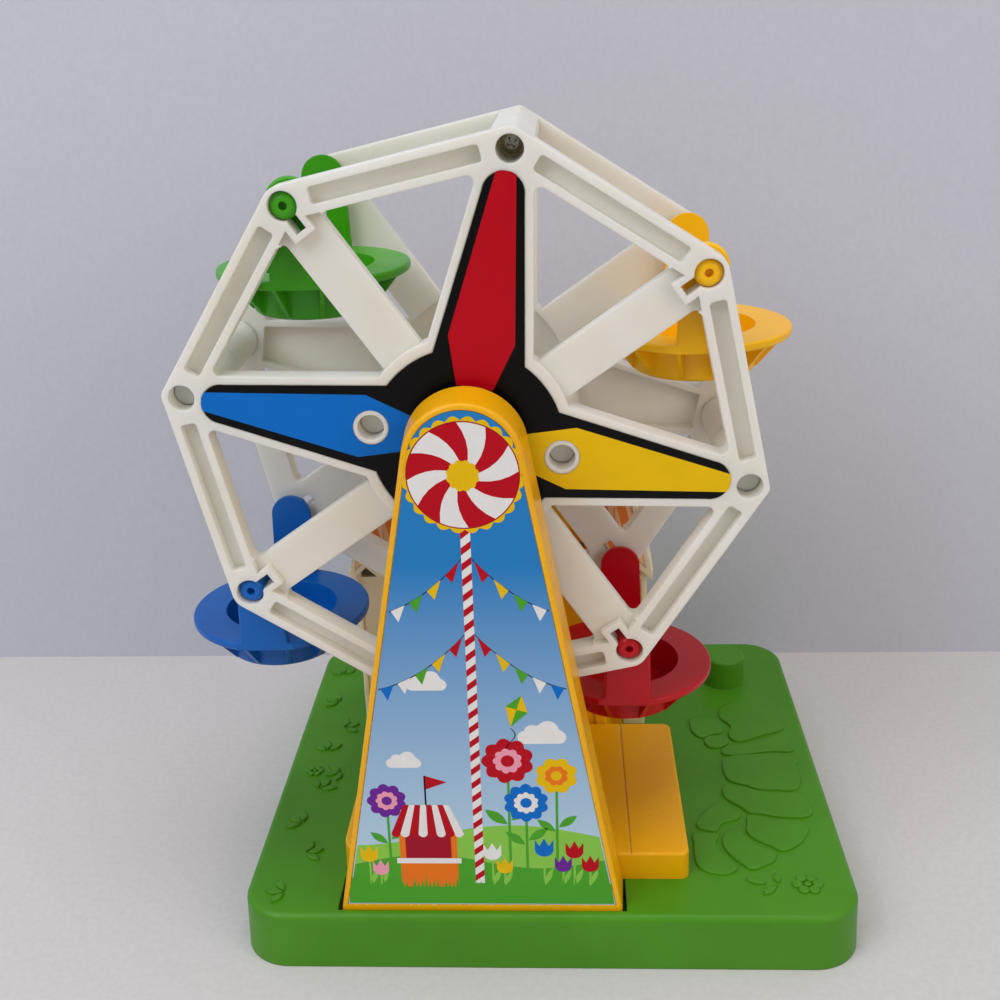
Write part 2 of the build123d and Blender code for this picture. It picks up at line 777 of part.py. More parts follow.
with BuildPart() as booth:
    with BuildSketch(Plane.XY.offset(base_height)):
        with Locations((booth_x, (booth_front + booth_back) / 2)):
            RectangleRounded(booth_width, booth_depth, booth_edge)
            Rectangle(booth_width - 2 * booth_wall, booth_depth - 2 * booth_wall, mode=Mode.SUBTRACT)
    extrude(amount=booth_top - base_height)
    # the front opens round the rear housing, and each wing has a sunk panel
    with BuildSketch(facing(booth_front)):
        add(tower_outline(housing_outline_grow + booth_gap))
    extrude(amount=-booth_wall - 1, mode=Mode.SUBTRACT)
    with BuildSketch(facing(booth_front)):
        with Locations((booth_shift, -(drop + booth_drop) / 2)):
            Rectangle(booth_width - 2 * booth_panel_rim, drop - booth_drop - 2 * booth_panel_rim)
        with BuildSketch(mode=Mode.SUBTRACT):
            add(tower_outline(housing_outline_grow + booth_gap + booth_panel_rim))
    extrude(amount=-booth_panel_depth, mode=Mode.SUBTRACT)
    with BuildSketch(Plane.YZ.offset(booth_x - booth_width / 2)) as side_panels:
        with Locations(((booth_front + booth_back) / 2, (base_height + booth_top) / 2)):
            Rectangle(booth_depth - 2 * booth_panel_rim, booth_top - base_height - 2 * booth_panel_rim)
    extrude(amount=booth_panel_depth, mode=Mode.SUBTRACT)
    extrude(to_extrude=side_panels.sketch.moved(Location((booth_width - booth_panel_depth, 0, 0))),
            amount=booth_panel_depth, mode=Mode.SUBTRACT)
    # sound slots behind those of the housing's cover
    with BuildSketch(facing(booth_back)):
        with Locations((0, -sound_drop)):
            with GridLocations(sound_pitch, 1, sound_slots, 1):
                SlotOverall(sound_length, sound_width, rotation=90)
    extrude(amount=booth_wall, mode=Mode.SUBTRACT)
    with BuildSketch(facing(booth_back)):
        with Locations(*booth_spots):
            Circle(small_head + shank_gap)
    extrude(amount=small_head_height, mode=Mode.SUBTRACT)
    with BuildSketch(facing(booth_back)):
        with Locations(*booth_spots):
            Circle(small_shank + shank_gap)
    extrude(amount=booth_wall, mode=Mode.SUBTRACT)
keep("booth", booth)

# screws from behind hold the booth to the posts of the housing's cover
with BuildPart() as booth_screws:
    with BuildSketch(facing(booth_back)):
        with Locations(*booth_spots):
            Circle(small_head)
    extrude(amount=small_head_height)
    with BuildSketch(facing(booth_back)):
        with Locations(*booth_spots):
            Circle(small_shank)
    extrude(amount=small_length)
keep("booth_screws", booth_screws)

# ------------------------------------------------------------------ striped roof

roof_front = booth_front - roof_overhang
roof_depth = booth_back + booth_gap + roof_wall - roof_front
roof_rise = roof_drop - roof_top_drop
pennant = roof_width / pennant_rows


def roof_outline(inset=0.0, jagged=True):
    """Front outline of the roof: narrower at the top, with hanging pennants along the bottom."""
    top_half = roof_width / 2 - roof_rise * roof_lean - inset
    low_half = roof_width / 2 - inset
    with BuildSketch() as outline:
        with BuildLine(Location((booth_shift, 0))):
            Polyline((-low_half, -roof_drop), (low_half, -roof_drop),
                     (top_half, -roof_top_drop - inset), (-top_half, -roof_top_drop - inset), close=True)
        make_face()
        if jagged:
            for number in range(pennant_rows):
                left = booth_shift - roof_width / 2 + number * pennant
                with BuildLine():
                    Polyline((left, -roof_drop + 1.6 * inset), (left + pennant, -roof_drop + 1.6 * inset),
                             (left + pennant / 2, -roof_drop + 1.6 * inset + pennant_height), close=True)
                make_face(mode=Mode.SUBTRACT)
            if inset:
                with Locations((booth_shift, -roof_drop)):
                    Rectangle(roof_width, 3.2 * inset, mode=Mode.SUBTRACT)
    return outline.sketch


with BuildPart() as booth_roof:
    with BuildSketch(facing(roof_front)):
        add(roof_outline(jagged=False))
    extrude(amount=-roof_depth)
    with BuildSketch(facing(roof_front + roof_wall)):
        add(roof_outline(jagged=False))
        offset(amount=-roof_wall, mode=Mode.REPLACE)
        with Locations((booth_shift, -roof_drop)):
            Rectangle(roof_width - 2 * roof_wall - 0.4, 2 * roof_wall + 1)
    extrude(amount=-(roof_depth - 2 * roof_wall), mode=Mode.SUBTRACT)
    # pennants at the front and along both ends
    with BuildSketch(facing(roof_front)):
        add(roof_outline(jagged=False))
        with BuildSketch(mode=Mode.SUBTRACT):
            add(roof_outline())
    extrude(amount=-roof_wall, mode=Mode.SUBTRACT)
    side_rows = 3
    side_pennant = roof_depth / side_rows
    with BuildSketch(Plane.YZ.offset(booth_x - roof_width / 2)):
        for number in range(side_rows):
            start = roof_front + number * side_pennant
            with BuildLine():
                Polyline((start, axle_z - roof_drop), (start + side_pennant, axle_z - roof_drop),
                         (start + side_pennant / 2, axle_z - roof_drop + pennant_height), close=True)
            make_face()
    extrude(amount=roof_width, mode=Mode.SUBTRACT)
    # room for the rear tower and its housing
    with BuildSketch(facing(roof_front)):
        add(tower_outline(housing_outline_grow + booth_gap))
    extrude(amount=-(cover_back + booth_gap - roof_front), mode=Mode.SUBTRACT)
    # ledges that rest on the booth's walls
    with BuildSketch(facing(booth_front)):
        with Locations((booth_shift - booth_width / 2, -booth_drop + roof_wall / 2),
                       (booth_shift + booth_width / 2, -booth_drop + roof_wall / 2)):
            Rectangle(2 * roof_eaves, roof_wall)
    extrude(amount=-booth_depth)
    # seat of the striped panels
    with BuildSketch(facing(roof_front)):
        add(roof_outline(awning_rim))
        with BuildSketch(mode=Mode.SUBTRACT):
            add(tower_outline(housing_outline_grow + booth_gap + awning_rim))
    extrude(amount=-awning_seat, mode=Mode.SUBTRACT)
keep("booth_roof", booth_roof)

with BuildPart() as awning_panels:
    with BuildSketch(facing(roof_front + awning_seat)):
        add(roof_outline(awning_rim + 0.2))
        with BuildSketch(mode=Mode.SUBTRACT):
            add(tower_outline(housing_outline_grow + booth_gap + awning_rim + 0.2))
    extrude(amount=awning_seat - awning_rib)
    stripe_count = int(roof_width / 2 / awning_stripe)
    with BuildSketch(facing(roof_front + awning_seat)):
        add(roof_outline(awning_rim + 0.2))
        with BuildSketch(mode=Mode.SUBTRACT):
            add(tower_outline(housing_outline_grow + booth_gap + awning_rim + 0.2))
        with BuildSketch(mode=Mode.INTERSECT):
            with Locations((booth_shift, -(roof_drop + roof_top_drop) / 2)):
                with GridLocations(2 * awning_stripe, 1, stripe_count, 1):
                    Rectangle(awning_stripe, roof_rise)
    extrude(amount=awning_seat)
keep("awning_panels", awning_panels)

# ------------------------------------------------------------------ wheel frames



def keyhole(grow=0.0):
    """The pivot bore and its assembly slot along +X, pointing at the axle."""
    with BuildSketch() as shape:
        with Locations((bore_circle, 0)):
            Circle(pivot_bore + grow)
        with Locations((bore_circle - (slot_reach + grow) / 2, 0)):
            Rectangle(slot_reach + grow, slot_width + 2 * grow)
    return shape.sketch


with BuildSketch() as windows:
    RegularPolygon(inner_corner, 8)
    Circle(hub_radius, mode=Mode.SUBTRACT)
    with PolarLocations(0, 4):
        add(arm_outline(arm_root, arm_tip), mode=Mode.SUBTRACT)
    with PolarLocations(0, 4, start_angle=45):
        with Locations((bore_circle / 2, 0)):
            Rectangle(bore_circle, spoke_width, mode=Mode.SUBTRACT)
    rim_corners = [v for v in windows.vertices() if sqrt(v.X**2 + v.Y**2) > hub_radius + 5]
    fillet(rim_corners, window_round)

with BuildSketch() as spoke_recesses:
    RegularPolygon(inner_corner, 8)
    Circle(hub_radius, mode=Mode.SUBTRACT)
    with BuildSketch(mode=Mode.INTERSECT):
        with PolarLocations(0, 4, start_angle=45):
            with Locations((bore_circle / 2, 0)):
                Rectangle(bore_circle, spoke_width + 2)
    with PolarLocations(0, 4, start_angle=45):
        add(keyhole(pivot_lip), mode=Mode.SUBTRACT)

hollow_end = bore_circle - post_radius - rib
arm_slope = (arm_root - arm_tip) / 2 / (bore_circle - arm_root_at)
hollow_root = arm_root / 2 - rib
hollow_tip = hollow_root - arm_slope * (hollow_end - arm_root_at)
with BuildSketch() as arm_hollow:
    with BuildLine():
        Polyline((0, -hollow_root), (arm_root_at, -hollow_root), (hollow_end, -hollow_tip),
                 (hollow_end, hollow_tip), (arm_root_at, hollow_root), (0, hollow_root), close=True)
    make_face()

with BuildSketch() as frame_hollow:
    Circle(hub_radius - rib)
    with PolarLocations(0, 4):
        add(arm_hollow.sketch)
    Circle(hub_tube, mode=Mode.SUBTRACT)
    with Locations(*hub_spots):
        Circle(hub_post_radius, mode=Mode.SUBTRACT)

with BuildPart() as frame_side:
    inner_plane = facing(frame_inner, rest_turn)
    outer_plane = facing(wheel_front, rest_turn)
    with BuildSketch(inner_plane):
        add(wheel_outline())
        add(windows.sketch, mode=Mode.SUBTRACT)
    extrude(amount=frame_thick)
    with BuildSketch(outer_plane):
        add(spoke_recesses.sketch)
    extrude(amount=-spoke_recess, mode=Mode.SUBTRACT)
    with BuildSketch(outer_plane):
        with PolarLocations(rim_middle, 8, start_angle=22.5):
            RectangleRounded(channel_width, side_length - 2 * channel_end, 1.5)
    extrude(amount=-channel_depth, mode=Mode.SUBTRACT)
    with BuildSketch(inner_plane):
        add(frame_hollow.sketch)
    extrude(amount=frame_thick - skin, mode=Mode.SUBTRACT)
    with BuildSketch(inner_plane):
        with PolarLocations(0, 4, start_angle=45):
            add(keyhole())
    extrude(amount=frame_thick, mode=Mode.SUBTRACT)
    # boss that keeps the hub clear of the bush flange
    with BuildSketch(outer_plane):
        Circle(bush_flange)
    extrude(amount=tower_gap - flange_thick - end_play)
    with BuildSketch(facing(wheel_middle, rest_turn)):
        Circle(axle_radius)
    extrude(amount=wheel_depth, mode=Mode.SUBTRACT)

# posts and the axle's tube, from one frame to the middle of the wheel
with BuildPart() as side_posts:
    with BuildSketch(inner_plane):
        with Locations(*screw_spots):
            Circle(post_radius)
        with BuildSketch(mode=Mode.INTERSECT):
            add(wheel_outline())
        with Locations(*hub_spots):
            Circle(hub_post_radius)
        Circle(hub_tube)
        Circle(axle_radius, mode=Mode.SUBTRACT)
    extrude(amount=-(wheel_depth / 2 - frame_thick))

across_wheel = Plane(origin=(0, wheel_middle, 0), x_dir=(1, 0, 0), z_dir=(0, 1, 0))
with BuildPart() as wheel_front_frame:
    add(frame_side.part)
    with BuildSketch(outer_plane):
        add(star_outline())
        with Locations(*hub_spots):
            Circle(screw_bore + hub_well_rim, mode=Mode.SUBTRACT)
        Circle(bush_flange, mode=Mode.SUBTRACT)
    extrude(amount=-label_seat, mode=Mode.SUBTRACT)
    with BuildSketch(outer_plane):
        with Locations(*screw_spots, *hub_spots):
            Circle(screw_bore)
    extrude(amount=-frame_thick, mode=Mode.SUBTRACT)
keep("wheel_front_frame", wheel_front_frame)

with BuildPart() as wheel_front_posts:
    add(side_posts.part)
    with BuildSketch(outer_plane):
        with Locations(*screw_spots, *hub_spots):
            Circle(screw_bore)
    extrude(amount=-(screw_depth + screw_head_height), mode=Mode.SUBTRACT)
    with BuildSketch(outer_plane):
        with Locations(*screw_spots, *hub_spots):
            Circle(screw_shank + shank_gap)
    extrude(amount=-wheel_depth / 2, mode=Mode.SUBTRACT)
keep("wheel_front_posts", wheel_front_posts)

with BuildPart() as wheel_rear_frame:
    mirror(frame_side.part, about=across_wheel)
keep("wheel_rear_frame", wheel_rear_frame)

with BuildPart() as wheel_rear_posts:
    mirror(side_posts.part, about=across_wheel)
    with BuildSketch(facing(wheel_middle, rest_turn)):
        with Locations(*screw_spots, *hub_spots):
            Circle(screw_shank + shank_gap)
    extrude(amount=-(screw_length + screw_depth + screw_head_height + pilot_spare - wheel_depth / 2),
            mode=Mode.SUBTRACT)
keep("wheel_rear_posts", wheel_rear_posts)

with BuildPart() as wheel_screws:
    with BuildSketch(facing(wheel_front + screw_depth, rest_turn)):
        with Locations(*screw_spots, *hub_spots):
            Circle(screw_head)
    extrude(amount=-screw_head_height)
    with BuildSketch(facing(wheel_front + screw_depth, rest_turn)):
        with Locations(*screw_spots, *hub_spots):
            Circle(screw_shank)
    extrude(amount=-(screw_head_height + screw_length))
keep("wheel_screws", wheel_screws)

with BuildPart() as star_label:
    with BuildSketch(facing(wheel_front + label_seat, rest_turn)):
        add(star_outline(label_gap))
        with Locations(*hub_spots):
            Circle(screw_bore + hub_well_rim + label_gap, mode=Mode.SUBTRACT)
        Circle(bush_flange + label_gap, mode=Mode.SUBTRACT)
    extrude(amount=label_thick)
keep("star_label", star_label)

axle_start = tower_back - bush_length - 1
with BuildPart() as axle:
    add(ring(axle_start, gear_back + 1 - axle_start, axle_radius))
    chamfer(axle.faces().sort_by(Axis.Y)[0].edges(), 0.4)
    chamfer(axle.faces().sort_by(Axis.Y)[-1].edges(), 0.4)
keep("axle", axle)

# ------------------------------------------------------------------ seats

cup_foot = cup_radius - (cup_depth - brim_thick) * tan(radians(cup_taper))
hanger_y = frame_inner + hanger_gap
seat_half = wheel_middle - hanger_y
# pin with a domed end
with BuildPart() as seat_pin:
    with BuildSketch(Plane(origin=(0, -seat_half, 0), x_dir=(1, 0, 0), z_dir=(0, -1, 0))):
        Circle(pivot_bore - pivot_gap)
    extrude(amount=hanger_gap + frame_thick - pin_proud)
    fillet(seat_pin.faces().sort_by(Axis.Y)[0].edges(), pin_round)
    with BuildSketch(Plane(origin=(0, pin_proud - wheel_depth / 2, 0), x_dir=(1, 0, 0), z_dir=(0, -1, 0))):
        Circle(pin_dimple)
    extrude(amount=-dimple_depth, mode=Mode.SUBTRACT)

with BuildPart() as seat:
    # hangers, one panel at each side, cut from one plate across the seat
    with BuildSketch(Plane(origin=(0, -seat_half, 0), x_dir=(1, 0, 0), z_dir=(0, -1, 0))) as hanger:
        Circle(hanger_top)
        with BuildLine():
            Polyline((-hanger_top, 0), (-hanger_foot / 2, -hang - brim_thick),
                     (hanger_foot / 2, -hang - brim_thick), (hanger_top, 0), close=True)
        make_face()
    extrude(amount=-hanger_thick)
    fillet(seat.faces().sort_by(Axis.Y)[0].edges().sort_by(Axis.Z)[1:], seat_edge)
    mirror(about=Plane.XZ)
    # brim
    with BuildSketch(Plane.XY.offset(-hang - brim_thick)):
        Circle(brim_radius)
        Rectangle(2 * brim_radius, 2 * seat_half, mode=Mode.INTERSECT)
    extrude(amount=brim_thick)
    brim_rim = seat.edges().filter_by(GeomType.CIRCLE).filter_by(lambda e: abs(e.radius - brim_radius) < 0.1)
    fillet(brim_rim, seat_edge)
    # cup and its gussets
    with BuildSketch(Plane.XY.offset(-hang - brim_thick)):
        Circle(cup_radius)
    extrude(amount=-(cup_depth - brim_thick), taper=cup_taper)
    fillet(seat.faces().sort_by(Axis.Z)[0].edges(), cup_edge)
    with BuildSketch(Plane.XZ):
        with BuildLine():
            Polyline((cup_foot - gusset_root, -hang - brim_thick), (brim_radius - gusset_back, -hang - brim_thick),
                     (cup_foot + gusset_toe, gusset_rise - hang - cup_depth),
                     (cup_foot - gusset_root, gusset_rise - hang - cup_depth), close=True)
        make_face()
    gusset = extrude(amount=gusset_thick / 2, both=True, mode=Mode.PRIVATE)
    with PolarLocations(0, gusset_count, start_angle=180 / gusset_count):
        add(gusset)
    with BuildSketch(Plane.XY.offset(-hang)):
        Circle(cup_radius - cup_wall)
    extrude(amount=-(cup_depth - cup_wall), taper=cup_taper, mode=Mode.SUBTRACT)
    add(seat_pin.part)
    mirror(seat_pin.part, about=Plane.XZ)

for colour, number in (("green", 1), ("blue", 3), ("red", 5), ("yellow", 7)):
    angle = radians(90 + 45 * number - rest_turn)
    spot = (axle_x + bore_circle * cos(angle), wheel_middle, axle_z + bore_circle * sin(angle))
    with BuildPart(Location(spot)) as placed_seat:
        add(seat.part)
    keep("seat_" + colour, placed_seat)

# ------------------------------------------------------------------ gear train, drum and crank

crank_z = axle_z - crank_drop
drum_z = axle_z - drum_drop
# a tooth of the lower gear meets a gap of the upper one
with BuildPart() as axle_gear:
    with BuildSketch(facing(gear_y)):
        add(gear_outline(axle_teeth, -90))
        Circle(axle_radius, mode=Mode.SUBTRACT)
    extrude(amount=-gear_face)
keep("axle_gear", axle_gear)

with BuildPart() as crank_gear:
    with BuildSketch(facing(gear_y, z=crank_z)):
        add(gear_outline(crank_teeth, 90 + 180 / crank_teeth))
        Circle(crank_shaft_radius, mode=Mode.SUBTRACT)
    extrude(amount=-gear_face)
keep("crank_gear", crank_gear)

with BuildPart() as drum_gear:
    with BuildSketch(facing(gear_y, z=drum_z)):
        add(gear_outline(drum_teeth, 90))
        Circle(drum_arbor_radius, mode=Mode.SUBTRACT)
    extrude(amount=-gear_face)
keep("drum_gear", drum_gear)


def movement_plate(y):
    with BuildPart() as plate:
        with BuildSketch(facing(y)):
            with Locations((0, plate_centre)):
                RectangleRounded(gear_plate_width, plate_height, 3)
            with Locations((0, -crank_drop)):
                Circle(crank_shaft_radius + run, mode=Mode.SUBTRACT)
            with Locations((0, -drum_drop)):
                Circle(drum_arbor_radius + run, mode=Mode.SUBTRACT)
            with Locations(*pillar_spots):
                Circle(small_shank + shank_gap, mode=Mode.SUBTRACT)
        extrude(amount=-gear_plate)
    return plate.part


with BuildPart() as gear_plate_front:
    add(movement_plate(plate_front_y))
keep("gear_plate_front", gear_plate_front)

with BuildPart() as gear_plate_rear:
    add(movement_plate(plate_rear_y))
keep("gear_plate_rear", gear_plate_rear)

with BuildPart() as gear_pillars:
    with BuildSketch(facing(plate_front_y + gear_plate)):
        with Locations(*pillar_spots):
            Circle(pillar_radius)
    extrude(amount=-gear_plate_space)
    with BuildSketch(facing(plate_front_y + gear_plate)):
        with Locations(*pillar_spots):
            Circle(small_shank + shank_gap)
    extrude(amount=-gear_plate_space, mode=Mode.SUBTRACT)
keep("gear_pillars", gear_pillars)

# screws hold the plates to the housing's front wall, heads towards the tower
with BuildPart() as gear_plate_screws:
    with BuildSketch(facing(rear_tower_back + small_head_height + 0.2)):
        with Locations(*pillar_spots):
            Circle(small_head)
    extrude(amount=small_head_height)
    with BuildSketch(facing(rear_tower_back + small_head_height + 0.2)):
        with Locations(*pillar_spots):
            Circle(small_shank)
    extrude(amount=-(plate_rear_y + gear_plate - rear_tower_back - small_head_height))
keep("gear_plate_screws", gear_plate_screws)

with BuildPart() as drum_arbor:
    add(ring(plate_front_y + 0.2, plate_rear_y + gear_plate - plate_front_y - 0.4, drum_arbor_radius,
             z=drum_z))
keep("drum_arbor", drum_arbor)

drum_y = gear_back + 1.0
comb_pitch = drum_length / comb_tines
tune = ((0, 20), (3, 75), (5, 130), (8, 160), (2, 200), (6, 235), (10, 280), (1, 310), (7, 340), (11, 95),
        (4, 255), (9, 50))
with BuildPart() as tune_drum:
    add(ring(drum_y, drum_length, drum_radius, drum_arbor_radius, z=drum_z))
    for row, angle in tune:
        y = drum_y + (row + 0.5) * comb_pitch
        lean = radians(angle)
        out = Vector(cos(lean), 0, sin(lean))
        with BuildSketch(Plane(origin=Vector(axle_x, y, drum_z) + out * (drum_radius - 0.5), z_dir=out)):
            Circle(0.4)
        extrude(amount=drum_pin + 0.5)
keep("tune_drum", tune_drum)

# comb: a slotted steel plate on a bracket, its tines level with the drum's axis
comb_tip_x = axle_x + drum_radius + drum_pin + comb_gap
bracket_height = 6.0
comb_screw_spots = [(comb_tip_x + comb_length - 2, drum_y + drum_length / 2 + side * 6) for side in (-1, 1)]
with BuildPart() as comb_bracket:
    with BuildSketch(Plane.XY.offset(drum_z - comb_thick / 2)):
        with Locations((comb_tip_x + comb_length - 2, plate_front_y + gear_plate + gear_plate_space / 2)):
            Rectangle(6, gear_plate_space)
        with Locations(*comb_screw_spots):
            Circle(small_shank + shank_gap, mode=Mode.SUBTRACT)
    extrude(amount=-bracket_height)
keep("comb_bracket", comb_bracket)

with BuildPart() as music_comb:
    with BuildSketch(Plane.XY.offset(drum_z - comb_thick / 2)):
        with Locations((comb_tip_x + (comb_length + 1) / 2, drum_y + drum_length / 2)):
            Rectangle(comb_length + 1, drum_length)
        for row in range(comb_tines - 1):
            with Locations((comb_tip_x + (comb_length - 5) / 2, drum_y + (row + 1) * comb_pitch)):
                Rectangle(comb_length - 5, comb_pitch - comb_tine_width, mode=Mode.SUBTRACT)
    extrude(amount=comb_thick)
    with BuildSketch(Plane.XY.offset(drum_z - comb_thick / 2)):
        with Locations(*comb_screw_spots):
            Circle(small_shank + shank_gap)
    extrude(amount=comb_thick, mode=Mode.SUBTRACT)
keep("music_comb", music_comb)

with BuildPart() as comb_screws:
    with BuildSketch(Plane.XY.offset(drum_z + comb_thick / 2)):
        with Locations(*comb_screw_spots):
            Circle(2.2)
    extrude(amount=1.2)
    with BuildSketch(Plane.XY.offset(drum_z + comb_thick / 2)):
        with Locations(*comb_screw_spots):
            Circle(small_shank)
    extrude(amount=-(comb_thick + bracket_height - 1))
keep("comb_screws", comb_screws)

with BuildPart() as crank_bush:
    add(ring(housing_back - bush_length + cover_thick, bush_length, bush_radius, crank_shaft_radius + run,
             z=crank_z))
    add(ring(cover_back, crank_arm_y - end_play - cover_back, bush_radius, crank_shaft_radius + run,
             z=crank_z))
keep("crank_bush", crank_bush)

with BuildPart() as crank_shaft:
    add(ring(plate_front_y + 0.2, crank_arm_back - plate_front_y - 0.2, crank_shaft_radius, z=crank_z))
keep("crank_shaft", crank_shaft)

grip_x = axle_x + crank_throw * cos(radians(crank_turn))
grip_z = crank_z + crank_throw * sin(radians(crank_turn))
with BuildPart() as crank_arm:
    with BuildSketch(facing(crank_arm_y, turn=-crank_turn, z=crank_z)):
        Circle(crank_hub_radius)
        with Locations((crank_throw, 0)):
            Circle(crank_end_radius)
        with BuildLine():
            Polyline((0, -crank_hub_radius), (crank_throw, -crank_end_radius),
                     (crank_throw, crank_end_radius), (0, crank_hub_radius), close=True)
        make_face()
    extrude(amount=-crank_arm_thick)
    fillet(crank_arm.faces().sort_by(Axis.Y)[-1].edges(), 1.5)
    with BuildSketch(facing(crank_arm_y, turn=-crank_turn, z=crank_z)):
        Circle(crank_shaft_radius)
        with Locations((crank_throw, 0)):
            Circle(grip_pin_radius)
    extrude(amount=-crank_arm_thick, mode=Mode.SUBTRACT)
keep("crank_arm", crank_arm)

with BuildPart() as grip_pin:
    add(ring(crank_arm_y, crank_arm_thick + grip_length + 2 * end_play, grip_pin_radius, x=grip_x, z=grip_z))
    add(ring(crank_arm_back + grip_length + 2 * end_play, 1.6, 4.2, x=grip_x, z=grip_z))
    fillet(grip_pin.faces().sort_by(Axis.Y)[-1].edges(), 1.0)
keep("grip_pin", grip_pin)

with BuildPart() as crank_grip:
    add(ring(crank_arm_back + end_play, grip_length, grip_radius, grip_pin_radius + run, x=grip_x, z=grip_z))
    fillet(crank_grip.edges().filter_by(GeomType.CIRCLE).filter_by(lambda e: e.radius > 6), 1.8)
keep("crank_grip", crank_grip)

# ------------------------------------------------------------------ write the pieces

os.makedirs("parts", exist_ok=True)
for name, piece in parts.items():
    export_step(piece, "parts/" + name + ".step")
    print(name, len(piece.solids()), round(piece.volume))
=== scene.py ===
"""Looks of the toy ferris wheel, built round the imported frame. Lengths are in metres."""
import json
import math

import bmesh
import bpy
from mathutils import Matrix, Vector


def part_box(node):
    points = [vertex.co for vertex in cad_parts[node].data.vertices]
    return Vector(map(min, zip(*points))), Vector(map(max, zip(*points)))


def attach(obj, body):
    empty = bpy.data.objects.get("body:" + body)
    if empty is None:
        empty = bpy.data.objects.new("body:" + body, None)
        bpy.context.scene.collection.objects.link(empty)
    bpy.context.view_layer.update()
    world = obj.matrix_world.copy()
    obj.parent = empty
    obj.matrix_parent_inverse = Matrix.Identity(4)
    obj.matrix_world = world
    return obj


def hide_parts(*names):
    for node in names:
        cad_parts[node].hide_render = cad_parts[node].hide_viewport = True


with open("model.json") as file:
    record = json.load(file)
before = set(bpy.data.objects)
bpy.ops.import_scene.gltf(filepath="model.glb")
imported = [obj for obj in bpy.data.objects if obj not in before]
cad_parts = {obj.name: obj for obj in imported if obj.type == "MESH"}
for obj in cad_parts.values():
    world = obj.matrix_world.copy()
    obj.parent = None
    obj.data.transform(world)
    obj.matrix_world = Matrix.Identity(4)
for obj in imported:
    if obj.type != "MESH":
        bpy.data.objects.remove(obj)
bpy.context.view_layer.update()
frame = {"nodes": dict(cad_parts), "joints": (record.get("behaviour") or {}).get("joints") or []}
nodes = frame["nodes"]
MM = 0.001

# ---------------------------------------------------------------- sizes read from the frame


def joint_place(name):
    """Where a joint's axis lies, in the row frame."""
    for joint in frame["joints"]:
        if joint["name"] == name:
            return Vector(joint["pos_m"])
    raise KeyError(name)


axle = joint_place("wheel_spin")
label_low, label_high = (Vector(v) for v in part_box("tower_label"))
star_low = Vector(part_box("star_label")[0])

BASE_TOP = 26.0 * MM               # the base's flat top, below its peg
REST_TURN = math.radians(10.2)     # the wheel stands this far clockwise of upright
WELL_FROM_HUB = 37.0               # the two screw wells beside the axle, in mm
BORE_CIRCLE = 110.0                # the wells and pivots at the wheel's corners, in mm
PRINT_STEP = 0.011                 # one layer of print above the next, in mm
INK_THICKNESS = 0.009

# ---------------------------------------------------------------- materials


def linear(code, alpha=1.0):
    """An sRGB hex colour as Blender's linear colour."""
    channels = [int(code[i:i + 2], 16) / 255 for i in (1, 3, 5)]
    return [c / 12.92 if c <= 0.04045 else ((c + 0.055) / 1.055) ** 2.4 for c in channels] + [alpha]


def grey(value):
    """A grey of this linear value."""
    return [value, value, value, 1.0]


def add_node(material, kind, settings=None, links=None, stops=()):
    """Adds a shader node with its settings, its input links and a ramp's colour stops."""
    tree = material.node_tree
    node = tree.nodes.new(kind)
    for key, value in (settings or {}).items():
        if isinstance(key, int) or key in node.inputs:
            node.inputs[key].default_value = value
        else:
            setattr(node, key, value)
    for key, socket in (links or {}).items():
        tree.links.new(socket, node.inputs[key])
    for number, (position, colour) in enumerate(stops):
        node.color_ramp.elements[number].position = position
        node.color_ramp.elements[number].color = colour
    return node


def new_material(name, **settings):
    """A node material with one shader, whose plain sockets are set here."""
    material = bpy.data.materials.new(name)
    material.use_nodes = True
    material.node_tree.nodes.clear()
    shader = add_node(material, "ShaderNodeBsdfPrincipled")
    for key, value in settings.items():
        shader.inputs[key.replace("_", " ")].default_value = value
    add_node(material, "ShaderNodeOutputMaterial", None, {"Surface": shader.outputs["BSDF"]})
    return material, shader


# lengths of the patterns' cells, in mm
AGEING, RUBBED_PATCH, HAIRLINE, SMUDGE, ORANGE_PEEL = 45, 2.2, 1.2, 14, 1.6
FILM_WEAR, FILM_RUB, FILM_WAVE = 9, 3.0, 18
TURNING_MARK, PAPER_GRAIN = 0.25, 3
RUBBED_EDGE = 0.7                  # how far the wear reaches in from an edge
SKIN_DEPTH = 6                     # how far light goes into a thin wall


